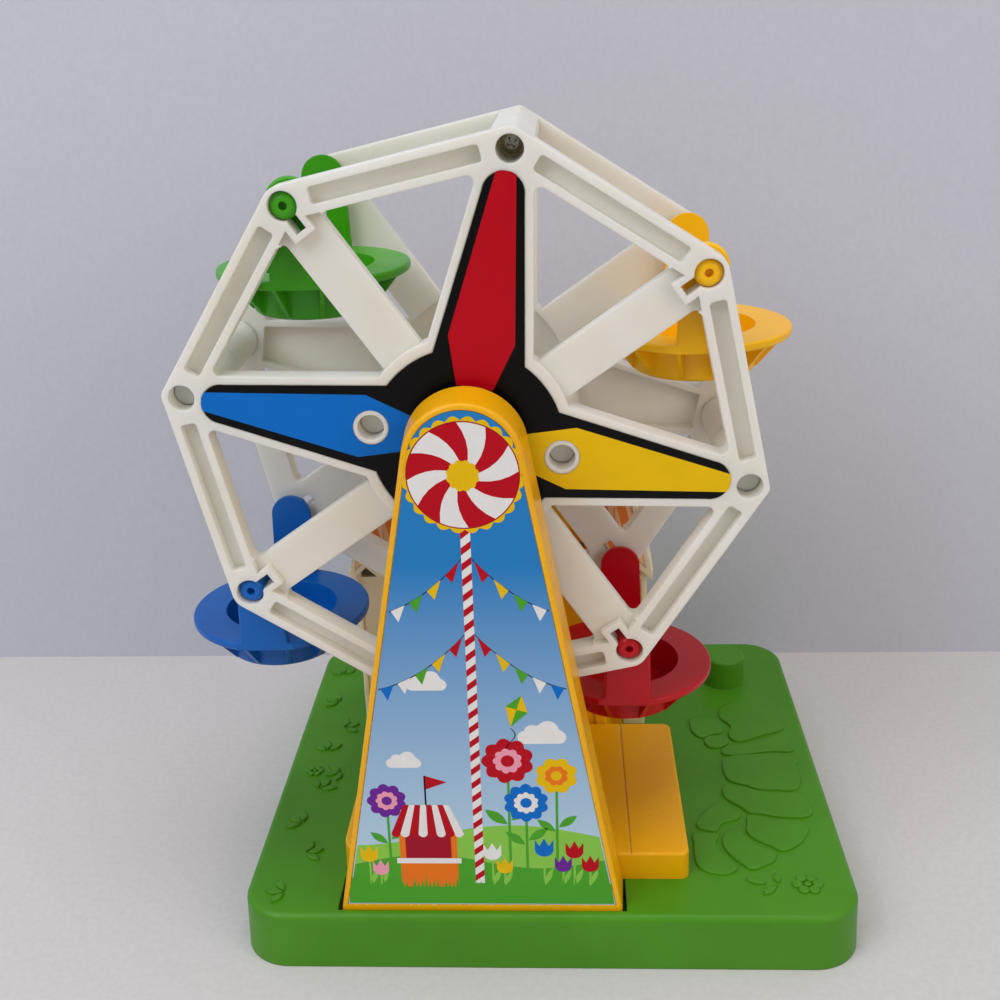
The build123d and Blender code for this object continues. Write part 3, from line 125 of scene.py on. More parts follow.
def moulded_plastic(name, colour, shade, roughness, peel=0.006, edge=0.35, scuffs=0.22, glow=0.0,
                    chips=None, stripes=None):
    """Injection moulded plastic: glossy, with a faint orange peel, softened edges, slow drifts of
    colour where it has aged, and fine scuffs from years of play. Thin walls glow a little."""
    settings = {"IOR": 1.5, "Specular_IOR_Level": 0.32}
    if glow:
        settings.update({"Subsurface_Weight": glow, "Subsurface_Radius": (1.0, 0.9, 0.75),
                         "Subsurface_Scale": SKIN_DEPTH * MM})
    material, shader = new_material(name, **settings)
    tree = material.node_tree
    place = add_node(material, "ShaderNodeTexCoord").outputs["Object"]
    ageing = add_node(material, "ShaderNodeTexNoise", {"Scale": 1 / (AGEING * MM), "Detail": 3.0},
                      {"Vector": place})
    body = add_node(material, "ShaderNodeValToRGB", None, {"Fac": ageing.outputs["Fac"]},
                    [(0.35, linear(shade)), (0.68, linear(colour))]).outputs["Color"]
    if stripes:
        pitch, second, lean = stripes
        axes = add_node(material, "ShaderNodeSeparateXYZ", None, {"Vector": place})
        slid = add_node(material, "ShaderNodeMath", {"operation": "MULTIPLY_ADD", 1: lean},
                        {0: axes.outputs["Z"], 2: axes.outputs["X"]})
        turns = add_node(material, "ShaderNodeMath", {"operation": "MULTIPLY", 1: 1 / pitch},
                         {0: slid.outputs[0]})
        part = add_node(material, "ShaderNodeMath", {"operation": "FRACT"}, {0: turns.outputs[0]})
        band = add_node(material, "ShaderNodeValToRGB", None, {"Fac": part.outputs[0]},
                        [(0.49, grey(0.0)), (0.51, grey(1.0))])
        body = add_node(material, "ShaderNodeMix", {"data_type": "RGBA", 7: linear(second)},
                        {0: band.outputs["Color"], 6: body}).outputs[2]
    if chips:
        # the skin is rubbed pale in patches, along edges, where a bevel turns the normal
        corner = add_node(material, "ShaderNodeBevel", {"Radius": RUBBED_EDGE * MM, "samples": 4})
        flat = add_node(material, "ShaderNodeNewGeometry")
        agree = add_node(material, "ShaderNodeVectorMath", {"operation": "DOT_PRODUCT"},
                         {0: corner.outputs["Normal"], 1: flat.outputs["True Normal"]})
        edges = add_node(material, "ShaderNodeValToRGB", None, {"Fac": agree.outputs["Value"]},
                         [(0.86, grey(1.0)), (0.99, grey(0.0))])
        rubbing = add_node(material, "ShaderNodeTexNoise",
                           {"Scale": 1 / (RUBBED_PATCH * MM), "Detail": 5.0, "Roughness": 0.65},
                           {"Vector": place})
        patch = add_node(material, "ShaderNodeValToRGB", None, {"Fac": rubbing.outputs["Fac"]},
                         [(0.50, grey(0.0)), (0.58, grey(1.0))])
        worn = add_node(material, "ShaderNodeMix",
                        {"data_type": "RGBA", "blend_type": "MULTIPLY", 0: 1.0},
                        {6: edges.outputs["Color"], 7: patch.outputs["Color"]})
        body = add_node(material, "ShaderNodeMix", {"data_type": "RGBA", 7: linear(chips)},
                        {0: worn.outputs[2], 6: body}).outputs[2]
    tree.links.new(body, shader.inputs["Base Color"])
    # hairline scuffs run along stretched cells
    stretch = add_node(material, "ShaderNodeMapping", {"Scale": (1.0, 1.0, 0.12)}, {"Vector": place})
    scuffing = add_node(material, "ShaderNodeTexNoise",
                        {"Scale": 1 / (HAIRLINE * MM), "Detail": 6.0, "Roughness": 0.7},
                        {"Vector": stretch.outputs["Vector"]})
    hair = add_node(material, "ShaderNodeValToRGB", None, {"Fac": scuffing.outputs["Fac"]},
                    [(0.62, grey(roughness)), (0.72, grey(roughness + scuffs))])
    handling = add_node(material, "ShaderNodeTexNoise", {"Scale": 1 / (SMUDGE * MM), "Detail": 4.0},
                        {"Vector": place})
    smudge = add_node(material, "ShaderNodeValToRGB", None, {"Fac": handling.outputs["Fac"]},
                      [(0.3, grey(0.0)), (0.7, grey(0.08))])
    dulled = add_node(material, "ShaderNodeMix", {"data_type": "RGBA", "blend_type": "ADD", 0: 1.0},
                      {6: hair.outputs["Color"], 7: smudge.outputs["Color"]})
    tree.links.new(dulled.outputs[2], shader.inputs["Roughness"])
    rounded = add_node(material, "ShaderNodeBevel", {"Radius": edge * MM, "samples": 4})
    skin = add_node(material, "ShaderNodeTexNoise", {"Scale": 1 / (ORANGE_PEEL * MM)}, {"Vector": place})
    bump = add_node(material, "ShaderNodeBump", {"Strength": 0.35, "Distance": peel * MM},
                    {"Height": skin.outputs["Fac"], "Normal": rounded.outputs["Normal"]})
    tree.links.new(bump.outputs["Normal"], shader.inputs["Normal"])
    return material


def printed_film(name, colour, foot=None, roughness=0.3):
    """Ink on a laminated sticker: even colour under a clear satin skin that waves a little. With a
    foot colour the ink fades downwards to it, as a printed sky does."""
    material, shader = new_material(name, IOR=1.45, Specular_IOR_Level=0.2)
    tree = material.node_tree
    place = add_node(material, "ShaderNodeTexCoord").outputs["Object"]
    wear = add_node(material, "ShaderNodeTexNoise",
                    {"Scale": 1 / (FILM_WEAR * MM), "Detail": 5.0, "Roughness": 0.6}, {"Vector": place})
    if foot:
        axes = add_node(material, "ShaderNodeSeparateXYZ", None, {"Vector": place})
        rise = add_node(material, "ShaderNodeMapRange",
                        {"From Min": label_low.z, "From Max": label_high.z}, {"Value": axes.outputs["Z"]})
        fade = add_node(material, "ShaderNodeValToRGB", None, {"Fac": rise.outputs["Result"]},
                        [(0.16, linear(foot)), (0.72, linear(colour))])
        # long rubs where the skin has gone pale
        stretch = add_node(material, "ShaderNodeMapping",
                           {"Scale": (1.0, 1.0, 0.08), "Rotation": (0, 0.14, 0)}, {"Vector": place})
        rubbing = add_node(material, "ShaderNodeTexNoise",
                           {"Scale": 1 / (FILM_RUB * MM), "Detail": 6.0, "Roughness": 0.75},
                           {"Vector": stretch.outputs["Vector"]})
        rub = add_node(material, "ShaderNodeValToRGB", None, {"Fac": rubbing.outputs["Fac"]},
                       [(0.70, grey(0.0)), (0.78, grey(0.35))])
        body = add_node(material, "ShaderNodeMix", {"data_type": "RGBA", 7: linear("#B8DCC8")},
                        {0: rub.outputs["Color"], 6: fade.outputs["Color"]}).outputs[2]
    else:
        deep = [c * 0.94 for c in linear(colour)[:3]] + [1.0]
        body = add_node(material, "ShaderNodeValToRGB", None, {"Fac": wear.outputs["Fac"]},
                        [(0.30, deep), (0.75, linear(colour))]).outputs["Color"]
    tree.links.new(body, shader.inputs["Base Color"])
    dulled = add_node(material, "ShaderNodeValToRGB", None, {"Fac": wear.outputs["Fac"]},
                      [(0.35, grey(roughness)), (0.75, grey(roughness + 0.14))])
    tree.links.new(dulled.outputs["Color"], shader.inputs["Roughness"])
    waves = add_node(material, "ShaderNodeTexNoise", {"Scale": 1 / (FILM_WAVE * MM), "Detail": 1.0},
                     {"Vector": place})
    bump = add_node(material, "ShaderNodeBump", {"Strength": 0.2, "Distance": 0.1 * MM},
                    {"Height": waves.outputs["Fac"]})
    tree.links.new(bump.outputs["Normal"], shader.inputs["Normal"])
    return material


def turned_metal(name, colour, roughness):
    """Bare metal with fine turning marks."""
    material, shader = new_material(name, Metallic=1.0)
    tree = material.node_tree
    place = add_node(material, "ShaderNodeTexCoord").outputs["Object"]
    stretch = add_node(material, "ShaderNodeMapping", {"Scale": (1.0, 0.06, 1.0)}, {"Vector": place})
    marks = add_node(material, "ShaderNodeTexNoise",
                     {"Scale": 1 / (TURNING_MARK * MM), "Detail": 4.0, "Roughness": 0.6},
                     {"Vector": stretch.outputs["Vector"]}).outputs["Fac"]
    dull = [c * 0.8 for c in linear(colour)[:3]] + [1.0]
    body = add_node(material, "ShaderNodeValToRGB", None, {"Fac": marks},
                    [(0.3, dull), (0.7, linear(colour))])
    tree.links.new(body.outputs["Color"], shader.inputs["Base Color"])
    matt = add_node(material, "ShaderNodeValToRGB", None, {"Fac": marks},
                    [(0.3, grey(roughness)), (0.7, grey(roughness + 0.18))])
    tree.links.new(matt.outputs["Color"], shader.inputs["Roughness"])
    bump = add_node(material, "ShaderNodeBump", {"Strength": 0.3, "Distance": 0.02 * MM}, {"Height": marks})
    tree.links.new(bump.outputs["Normal"], shader.inputs["Normal"])
    return material


wheel_ivory = moulded_plastic("ivory_styrene", "#E9E8E0", "#E3E0D4", 0.34, edge=0.6, glow=0.6)
tower_yellow = moulded_plastic("yellow_styrene", "#F8B806", "#F2AE04", 0.26, edge=0.6, chips="#F6E6A8")
base_green = moulded_plastic("green_polyethylene", "#4C9014", "#458710", 0.36, peel=0.012, edge=0.6)
seat_colours = {"green": ("#42A40E", "#3A980A"), "blue": ("#0566BE", "#035CB0"),
                "red": ("#C40618", "#B80414"), "yellow": ("#FFC402", "#FABA00")}
seat_plastic = {colour: moulded_plastic(colour + "_bucket_styrene", pale, dark, 0.28, edge=0.5)
                for colour, (pale, dark) in seat_colours.items()}
booth_cream = moulded_plastic("cream_styrene", "#F2E8CC", "#EADDBA", 0.34, glow=0.2)
awning_orange = moulded_plastic("orange_styrene", "#EE8A3C", "#E67E30", 0.34,
                                stripes=(9.0 * MM, "#F6C79A", 0.25))
grip_red = moulded_plastic("red_grip_styrene", "#C80E26", "#BC0A20", 0.28)
gear_nylon = moulded_plastic("natural_nylon", "#EFEBDE", "#E8E3D2", 0.48, glow=0.2)
bare_steel = turned_metal("ground_steel", "#B4B6B8", 0.28)
zinc_steel = turned_metal("zinc_plated_steel", "#C8C7BE", 0.30)
turned_brass = turned_metal("turned_brass", "#D9B25A", 0.26)
black_film = printed_film("black_film", "#020202")
sky_film = printed_film("sky_film", "#237EC2", "#B4D0E2")
white_film = printed_film("white_film", "#ECEAE6")
red_film = printed_film("red_film", "#BC0018")
blue_film = printed_film("blue_film", "#006ECA")
yellow_film = printed_film("yellow_film", "#ECC000")
orange_film = printed_film("orange_film", "#F07818")
green_film = printed_film("green_film", "#4DA62A")
leaf_film = printed_film("leaf_film", "#8CCB4E")
purple_film = printed_film("purple_film", "#6E2596")
pink_film = printed_film("pink_film", "#F2A0B4")
crimson_film = printed_film("crimson_film", "#A50A28")
INKS = [white_film, red_film, yellow_film, blue_film, orange_film, green_film, leaf_film, purple_film,
        pink_film, black_film, crimson_film]
WHITE, RED, YELLOW, BLUE, ORANGE, GREEN, LEAF, PURPLE, PINK, BLACK, CRIMSON = range(len(INKS))

finish_of = {
    base_green: "base base_plate",
    tower_yellow: "front_tower front_tower_back rear_tower rear_housing rear_cover platform",
    zinc_steel: "base_screws front_tower_screws rear_tower_screws housing_screws stand_screws booth_screws "
                "wheel_screws gear_plate_screws comb_screws",
    sky_film: "tower_label",
    black_film: "star_label",
    gear_nylon: "front_bush rear_bush crank_bush axle_gear crank_gear drum_gear",
    booth_cream: "booth booth_roof",
    awning_orange: "awning_panels",
    bare_steel: "gear_plate_front gear_plate_rear music_comb axle crank_shaft grip_pin drum_arbor",
    turned_brass: "gear_pillars comb_bracket tune_drum",
    wheel_ivory: "wheel_front_frame wheel_front_posts wheel_rear_frame wheel_rear_posts crank_arm",
    grip_red: "crank_grip",
}
finish_of.update({plastic: "seat_" + colour for colour, plastic in seat_plastic.items()})
for material, names in finish_of.items():
    for name in names.split():
        solid = nodes[name]
        solid.data.materials.clear()
        solid.data.materials.append(material)

# ---------------------------------------------------------------- mesh helpers


def finish_mesh(name, mesh, materials, body, replaces=None):
    """Turns a bmesh into a piece of the object that rides on a body."""
    bmesh.ops.remove_doubles(mesh, verts=mesh.verts, dist=1e-7)
    data = bpy.data.meshes.new(name)
    mesh.to_mesh(data)
    mesh.free()
    piece = bpy.data.objects.new(name, data)
    bpy.context.scene.collection.objects.link(piece)
    for material in materials:
        data.materials.append(material)
    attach(piece, body)
    if replaces:
        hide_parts(replaces)


def flat_plate(loops, thickness, rounding=0.0, smooth=False):
    """A flat plate in mm, cut to closed loops in the XY plane and centred on it. A loop inside
    another is a hole; rounding is the radius of its edges."""
    curve = bpy.data.curves.new("cut", "CURVE")
    curve.dimensions = "2D"
    curve.fill_mode = "BOTH"
    curve.extrude = thickness / 2 - rounding
    curve.bevel_depth = rounding
    curve.bevel_resolution = 2
    curve.offset = -rounding
    curve.resolution_u = 6
    for loop in loops:
        if smooth:
            spline = curve.splines.new("BEZIER")
            spline.bezier_points.add(len(loop) - 1)
            for point, (x, y) in zip(spline.bezier_points, loop):
                point.co = (x, y, 0)
                point.handle_left_type = point.handle_right_type = "AUTO"
        else:
            spline = curve.splines.new("POLY")
            spline.points.add(len(loop) - 1)
            for point, (x, y) in zip(spline.points, loop):
                point.co = (x, y, 0, 1)
        spline.use_cyclic_u = True
    carrier = bpy.data.objects.new("cut", curve)
    data = bpy.data.meshes.new_from_object(carrier)
    bpy.data.objects.remove(carrier)
    bpy.data.curves.remove(curve)
    return data


def add_plate(mesh, data, place, ink=0):
    """Adds a plate to a bmesh at its place, with its normals outwards and its ink."""
    data.transform(place)
    known = set(mesh.faces)
    mesh.from_mesh(data)
    bpy.data.meshes.remove(data)
    fresh = [face for face in mesh.faces if face not in known]
    corners = list({corner for face in fresh for corner in face.verts})
    bmesh.ops.remove_doubles(mesh, verts=corners, dist=1e-7)
    fresh = [face for face in mesh.faces if face not in known]
    bmesh.ops.recalc_face_normals(mesh, faces=fresh)
    for face in fresh:
        face.material_index = ink


def upright(y, turn=0.0):
    """Stands a plate of the XY plane up to face the front, about the axle, and turns mm to metres."""
    return (Matrix.Translation((axle.x, y, axle.z)) @ Matrix.Rotation(turn, 4, "Y")
            @ Matrix.Rotation(math.pi / 2, 4, "X") @ Matrix.Scale(MM, 4))


def arc(cx, cy, radius, start=0.0, end=360.0, steps=28, squash=1.0):
    """Points along an arc, in degrees anticlockwise; a whole circle doesn't repeat its first point."""
    count = steps if end - start >= 360 else steps + 1
    turns = [math.radians(start + (end - start) * i / steps) for i in range(count)]
    return [(cx + radius * math.cos(t), cy + squash * radius * math.sin(t)) for t in turns]


def turned(points, degrees, cx=0.0, cy=0.0):
    """Points turned about a centre, anticlockwise."""
    c, s = math.cos(math.radians(degrees)), math.sin(math.radians(degrees))
    return [(cx + x * c - y * s, cy + x * s + y * c) for x, y in points]


class Print:
    """A printed picture: thin shapes on one face, each on a numbered layer."""

    def __init__(self, face_y, turn=0.0):
        self.mesh = bmesh.new()
        self.face_y = face_y
        self.turn = turn

    def shape(self, layer, ink, *loops):
        """Adds a shape of one ink; loops inside the first are holes."""
        y = self.face_y - (layer * PRINT_STEP - INK_THICKNESS / 2) * MM
        add_plate(self.mesh, flat_plate(loops, INK_THICKNESS), upright(y, self.turn), ink)

    def finish(self, name, body):
        """Makes the picture a piece of the object."""
        finish_mesh(name, self.mesh, INKS, body)


# ---------------------------------------------------------------- kites on the star label

WELL_RING = 6.9                    # bare ring round the two wells beside the axle, in mm
kite = [(-3.6, 102.4), (3.6, 102.4), (12.6, 40.5), (7.0, 22.0), (-7.0, 22.0), (-12.6, 40.5)]
star = Print(star_low.y, REST_TURN)
for quarter, ink in enumerate((RED, BLUE, GREEN, YELLOW)):
    loops = [turned(kite, 90 * quarter)]
    if ink in (BLUE, YELLOW):
        loops.append(turned(arc(0, WELL_FROM_HUB, WELL_RING), 90 * quarter))
    star.shape(1, ink, *loops)
star.finish("star_kites", "wheel")

# ---------------------------------------------------------------- the picture on the tower's label

LABEL_ARCH = (label_high.z - axle.z) / MM
LABEL_FOOT = (label_low.z - axle.z) / MM + 0.5
LABEL_HALF = (label_high.x - label_low.x) / 2 / MM


def half_width(up):
    """Half the label's width at a height about the axle, in mm, less a narrow margin."""
    return LABEL_ARCH + (LABEL_HALF - LABEL_ARCH) * up / LABEL_FOOT - 0.5


def scallops(cx, cy, radius, count, depth=0.16):
    """A round flower's edge: a circle whose radius swells at each petal."""
    points = []
    for step in range(count * 8):
        angle = math.tau * step / (count * 8)
        swell = 1 - depth + depth * abs(math.sin(count * angle / 2))
        points.append((cx + radius * swell * math.cos(angle), cy + radius * swell * math.sin(angle)))
    return points


def leaf_outline(length, width):
    """A pointed leaf along +X from the origin, between two arcs."""
    steps = 8
    upper = [(length * i / steps, width / 2 * math.sin(math.pi * i / steps)) for i in range(steps + 1)]
    return upper + [(x, -y) for x, y in reversed(upper[1:-1])]


def ground(picture, layer, ink, crest):
    """Ground across the whole label, from its foot up to a crest given as a function of across."""
    across = [half_width(LABEL_FOOT) * (1 - i / 40) for i in range(81)]
    top = []
    for x in across:
        up = crest(x)
        top.append((max(-half_width(up), min(half_width(up), x)), up))
    foot = half_width(LABEL_FOOT)
    picture.shape(layer, ink, [(-foot, LABEL_FOOT), (foot, LABEL_FOOT)] + top)


def flower(picture, x, up, radius, ink, eye, petals=9, foot=-186.0):
    """A round flower on a stalk with two leaves."""
    picture.shape(3, GREEN, [(x - 0.6, foot), (x + 0.6, foot), (x + 0.5, up), (x - 0.5, up)])
    for side in (-1, 1):
        leaf = [(side * a, b) for a, b in turned(leaf_outline(radius * 1.1, radius * 0.42), 38)]
        picture.shape(4, GREEN, [(x + side * 0.7 + a, (foot + up) / 2 + side + b) for a, b in leaf])
    picture.shape(5, ink, scallops(x, up, radius, petals))
    picture.shape(6, eye, scallops(x, up, radius * 0.56, petals))
    picture.shape(7, ink, arc(x, up, radius * 0.26, steps=16))


def tulip(picture, x, up, size, ink, layer, foot=-188.0):
    """A tulip: a cup with three points on a stalk."""
    picture.shape(3, LEAF, [(x - 0.5, foot), (x + 0.5, foot), (x + 0.4, up), (x - 0.4, up)])
    picture.shape(4, LEAF, [(x + a, foot + b) for a, b in turned(leaf_outline(size * 2.0, size * 0.5), 68)])
    cup = arc(x, up, size * 0.8, 180, 360, steps=12, squash=0.9)
    rim = [(x + size * 0.8, up + size), (x + size * 0.4, up + size * 0.35), (x, up + size * 1.15),
           (x - size * 0.4, up + size * 0.35), (x - size * 0.8, up + size)]
    picture.shape(layer, ink, cup + rim)


def pennant_string(picture, start, end, sag, count):
    """Pennants on a string that hangs between two points."""
    line = []
    for i in range(count * 2 + 1):
        t = i / (count * 2)
        line.append((start[0] + (end[0] - start[0]) * t,
                     start[1] + (end[1] - start[1]) * t - 4 * sag * t * (1 - t)))
    picture.shape(3, BLACK, [(x, y + 0.25) for x, y in line] + [(x, y - 0.25) for x, y in reversed(line)])
    for i in range(count):
        (ax, ay), (bx, by) = line[2 * i], line[2 * i + 2]
        ink = (RED, YELLOW, GREEN, WHITE, BLUE)[i % 5]
        inset = 0.12
        left = (ax + (bx - ax) * inset, ay + (by - ay) * inset)
        right = (bx + (ax - bx) * inset, by + (ay - by) * inset)
        picture.shape(4, ink, [left, ((ax + bx) / 2, (ay + by) / 2 - 6.0), right])


def cloud(picture, x, up, size):
    """A white cloud of three lobes with a flat foot."""
    lobes = (arc(9, 0, 4, -90, 60, 8) + arc(3, 4, 6, 10, 110, 8) + arc(-5, 3, 4.6, 60, 170, 8)
             + arc(-9, 0, 4, 110, 270, 8))
    picture.shape(1, WHITE, [(x + size * a, up + size * b) for a, b in lobes])


fair = Print(label_low.y)
cloud(fair, -18, -92, 0.62)
cloud(fair, 27, -116, 0.75)
cloud(fair, -29, -128, 0.55)
ground(fair, 1, LEAF, lambda x: -163 + 5 * math.cos((x - 14) / 21))
ground(fair, 2, GREEN, lambda x: -176 + 3.4 * math.cos((x + 22) / 15))

# a striped pole with a pinwheel of red and white blades at its top
POLE_HALF, POLE_TOP, POLE_FOOT = 1.9, -16.0, -187.0
fair.shape(3, WHITE, [(-POLE_HALF, POLE_FOOT), (POLE_HALF, POLE_FOOT),
                      (POLE_HALF, POLE_TOP), (-POLE_HALF, POLE_TOP)])
BAND_PITCH, BANDS = 6.5, 25
for number in range(BANDS):
    foot = POLE_FOOT + 1 + BAND_PITCH * number
    fair.shape(4, RED, [(-POLE_HALF, foot), (POLE_HALF, foot + 3),
                        (POLE_HALF, foot + 6), (-POLE_HALF, foot + 3)])
PINWHEEL_UP, BLADES, BLADE_REACH, BLADE_CURL = -4.6, 12, 20.6, 34
fair.shape(5, YELLOW, scallops(0, PINWHEEL_UP, BLADE_REACH + 2.4, 24, 0.07))
fair.shape(6, CRIMSON, arc(0, PINWHEEL_UP, BLADE_REACH + 0.5, steps=48))
for blade in range(BLADES):
    step = 360 / BLADES
    edge = [arc(0, 0, BLADE_REACH * i / 6, BLADE_CURL * i / 6, BLADE_CURL * i / 6, 1)[0] for i in range(1, 7)]
    far = turned(reversed(edge), step)
    sector = [(0, 0)] + edge + arc(0, 0, BLADE_REACH, BLADE_CURL, BLADE_CURL + step, 6)[1:-1] + far
    fair.shape(7, (RED, WHITE)[blade % 2], turned(sector, blade * step, 0, PINWHEEL_UP))
fair.shape(8, YELLOW, scallops(0, PINWHEEL_UP, 6.2, 12, 0.1))

for side in (-1, 1):
    pennant_string(fair, (side * 2, -38), (side * half_width(-60), -60), 3.0, 4)
    pennant_string(fair, (side * 2, -70), (side * half_width(-94), -94), 4.0, 5)

# a small kite with a curly tail
KITE_AT = (17.0, -104.0)
sail = [(0, 7.5), (4.6, 0.8), (0, -7.5), (-4.6, 0.8)]
fair.shape(5, GREEN, turned(sail, -18, *KITE_AT))
for quarter in ([sail[0], sail[1], (0, 0.8)], [(0, 0.8), sail[3], sail[2]]):
    fair.shape(6, YELLOW, turned(quarter, -18, *KITE_AT))
tail = [(KITE_AT[0] - 2.4 + 1.8 * math.sin(i / 2.2), KITE_AT[1] - 7.7 - 0.9 * i) for i in range(17)]
fair.shape(5, BLACK, [(x + 0.22, y) for x, y in tail] + [(x - 0.22, y) for x, y in reversed(tail)])

# a stall with a scalloped awning
STALL = -21.0
fair.shape(5, ORANGE, [(STALL - 12, -189), (STALL + 12, -189), (STALL + 12, -158), (STALL - 12, -158)])
fair.shape(6, CRIMSON, [(STALL - 9.5, -175), (STALL + 9.5, -175),
                        (STALL + 9.5, -160), (STALL - 9.5, -160)])
fair.shape(7, WHITE, [(STALL - 13.5, -177), (STALL + 13.5, -177),
                      (STALL + 13.5, -174.4), (STALL - 13.5, -174.4)])
STRIPES = 8
for stripe in range(STRIPES):
    left, right = STALL - 15 + 30 / STRIPES * stripe, STALL - 15 + 30 / STRIPES * (stripe + 1)
    top_left, top_right = STALL + (left - STALL) * 0.62, STALL + (right - STALL) * 0.62
    scallop = arc((left + right) / 2, -162, (right - left) / 2, 180, 360, 8)
    fair.shape(7, (RED, WHITE)[stripe % 2], scallop + [(top_right, -148), (top_left, -148)])
fair.shape(6, BLACK, [(STALL - 0.35, -149), (STALL + 0.35, -149),
                      (STALL + 0.35, -134), (STALL - 0.35, -134)])
fair.shape(7, RED, [(STALL + 0.35, -134), (STALL + 9, -137), (STALL + 0.35, -140.5)])

flower(fair, 13, -127, 10.6, RED, PINK)
flower(fair, 32.5, -134, 8.6, YELLOW, ORANGE, 8)
flower(fair, 20, -147, 9.2, BLUE, WHITE, 10)
flower(fair, -37, -146, 8.2, PURPLE, PINK)
tulips = [(-46, -173, 4.6, YELLOW), (-41.5, -180, 4.2, PINK), (5.5, -172, 4.6, WHITE),
          (10.5, -179, 4.2, YELLOW), (27, -170, 4.8, BLUE), (34.8, -178, 4.4, PURPLE),
          (39.5, -171, 4.6, RED), (46, -178, 4.4, RED)]
for number, (across, up, size, ink) in enumerate(tulips):
    tulip(fair, across, up, size, ink, 5 + number % 2)

# blades of grass along the foot
GRASS_BLADES = 68
turf = LABEL_FOOT + 7.5
foot_half = half_width(LABEL_FOOT)
blades = []
for blade in range(GRASS_BLADES):
    across = foot_half * (1 - 2 * blade / GRASS_BLADES) - 0.6
    height = 4.4 + 1.8 * math.sin(blade * 2.3) + 1.2 * math.sin(blade * 0.7)
    blades += [(across, turf), (across - 0.7, turf + height)]
fair.shape(8, GREEN, [(-foot_half, LABEL_FOOT), (foot_half, LABEL_FOOT)]
           + [(max(-foot_half + 1, min(foot_half - 1, x)), y) for x, y in blades])
fair.finish("fairground_print", "stand")

# ---------------------------------------------------------------- screws


def loose_solids(name):
    """The corners of each separate solid of a node."""
    mesh = bmesh.new()
    mesh.from_mesh(nodes[name].data)
    bmesh.ops.remove_doubles(mesh, verts=mesh.verts, dist=1e-6)
    solids, seen = [], set()
    for first in mesh.verts:
        if first in seen:
            continue
        seen.add(first)
        group, queue = [], [first]
        while queue:
            corner = queue.pop()
            group.append(corner.co.copy())
            for edge in corner.link_edges:
                other = edge.other_vert(corner)
                if other not in seen:
                    seen.add(other)
                    queue.append(other)
        solids.append(group)
    mesh.free()
    return solids


def screw_measures(corners):
    """Head centre, direction from head to tip, head radius and height, shank radius and length."""
    low = Vector([min(c[i] for c in corners) for i in range(3)])
    high = Vector([max(c[i] for c in corners) for i in range(3)])
    along = max(range(3), key=lambda i: high[i] - low[i])
    middle = (low + high) / 2

    def off_axis(corner):
        flat = corner - middle
        flat[along] = 0
        return flat.length

    head_radius = max(off_axis(c) for c in corners)
    at_head = [c[along] for c in corners if off_axis(c) > head_radius * 0.95]
    top_is_low = min(at_head) - low[along] < high[along] - max(at_head)
    down = Vector((0, 0, 0))
    down[along] = 1 if top_is_low else -1
    top = middle.copy()
    top[along] = low[along] if top_is_low else high[along]
    head_height = max(abs(value - top[along]) for value in at_head)
    beyond = [off_axis(c) for c in corners if abs(c[along] - top[along]) > head_height * 1.05]
    return top, down, head_radius, head_height, max(beyond), high[along] - low[along]


def cross_head_screw(head, height, shank, length):
    """A pan head screw with a cross recess, pointing down from the middle of its head."""
    mesh = bmesh.new()
    profile = [(0, 0), (head * 0.62, -height * 0.05), (head * 0.92, -height * 0.24),
               (head, -height * 0.5), (head, -height), (shank, -height), (shank, -length + shank),
               (0, -length)]
    line = [mesh.verts.new((x, 0, z)) for x, z in profile]
    edges = [mesh.edges.new(pair) for pair in zip(line, line[1:])]
    bmesh.ops.spin(mesh, geom=line + edges, axis=(0, 0, 1), cent=(0, 0, 0), angle=math.tau, steps=28,
                   use_merge=True)
    bmesh.ops.remove_doubles(mesh, verts=mesh.verts, dist=1e-7)
    bmesh.ops.recalc_face_normals(mesh, faces=mesh.faces)
    cutter = bmesh.new()
    for turn in (0, math.pi / 2):
        # each wing of the recess narrows downwards
        wing = bmesh.ops.create_cone(cutter, cap_ends=True, segments=4, radius1=head * 0.5,
                                     radius2=head * 0.95, depth=height,
                                     matrix=Matrix.Rotation(math.pi / 4, 4, "Z"))["verts"]
        bmesh.ops.scale(cutter, vec=(1, 0.24, 1), verts=wing)
        bmesh.ops.rotate(cutter, cent=(0, 0, 0), matrix=Matrix.Rotation(turn, 3, "Z"), verts=wing)
    solids = []
    for name, source in (("body", mesh), ("cross", cutter)):
        data = bpy.data.meshes.new(name)
        source.to_mesh(data)
        source.free()
        solids.append(bpy.data.objects.new(name, data))
        bpy.context.scene.collection.objects.link(solids[-1])
    cut = solids[0].modifiers.new("cross", "BOOLEAN")
    cut.operation = "DIFFERENCE"
    cut.use_self = True
    cut.object = solids[1]
    result = bpy.data.meshes.new_from_object(solids[0].evaluated_get(bpy.context.evaluated_depsgraph_get()))
    for solid in solids:
        data = solid.data
        bpy.data.objects.remove(solid)
        bpy.data.meshes.remove(data)
    return result


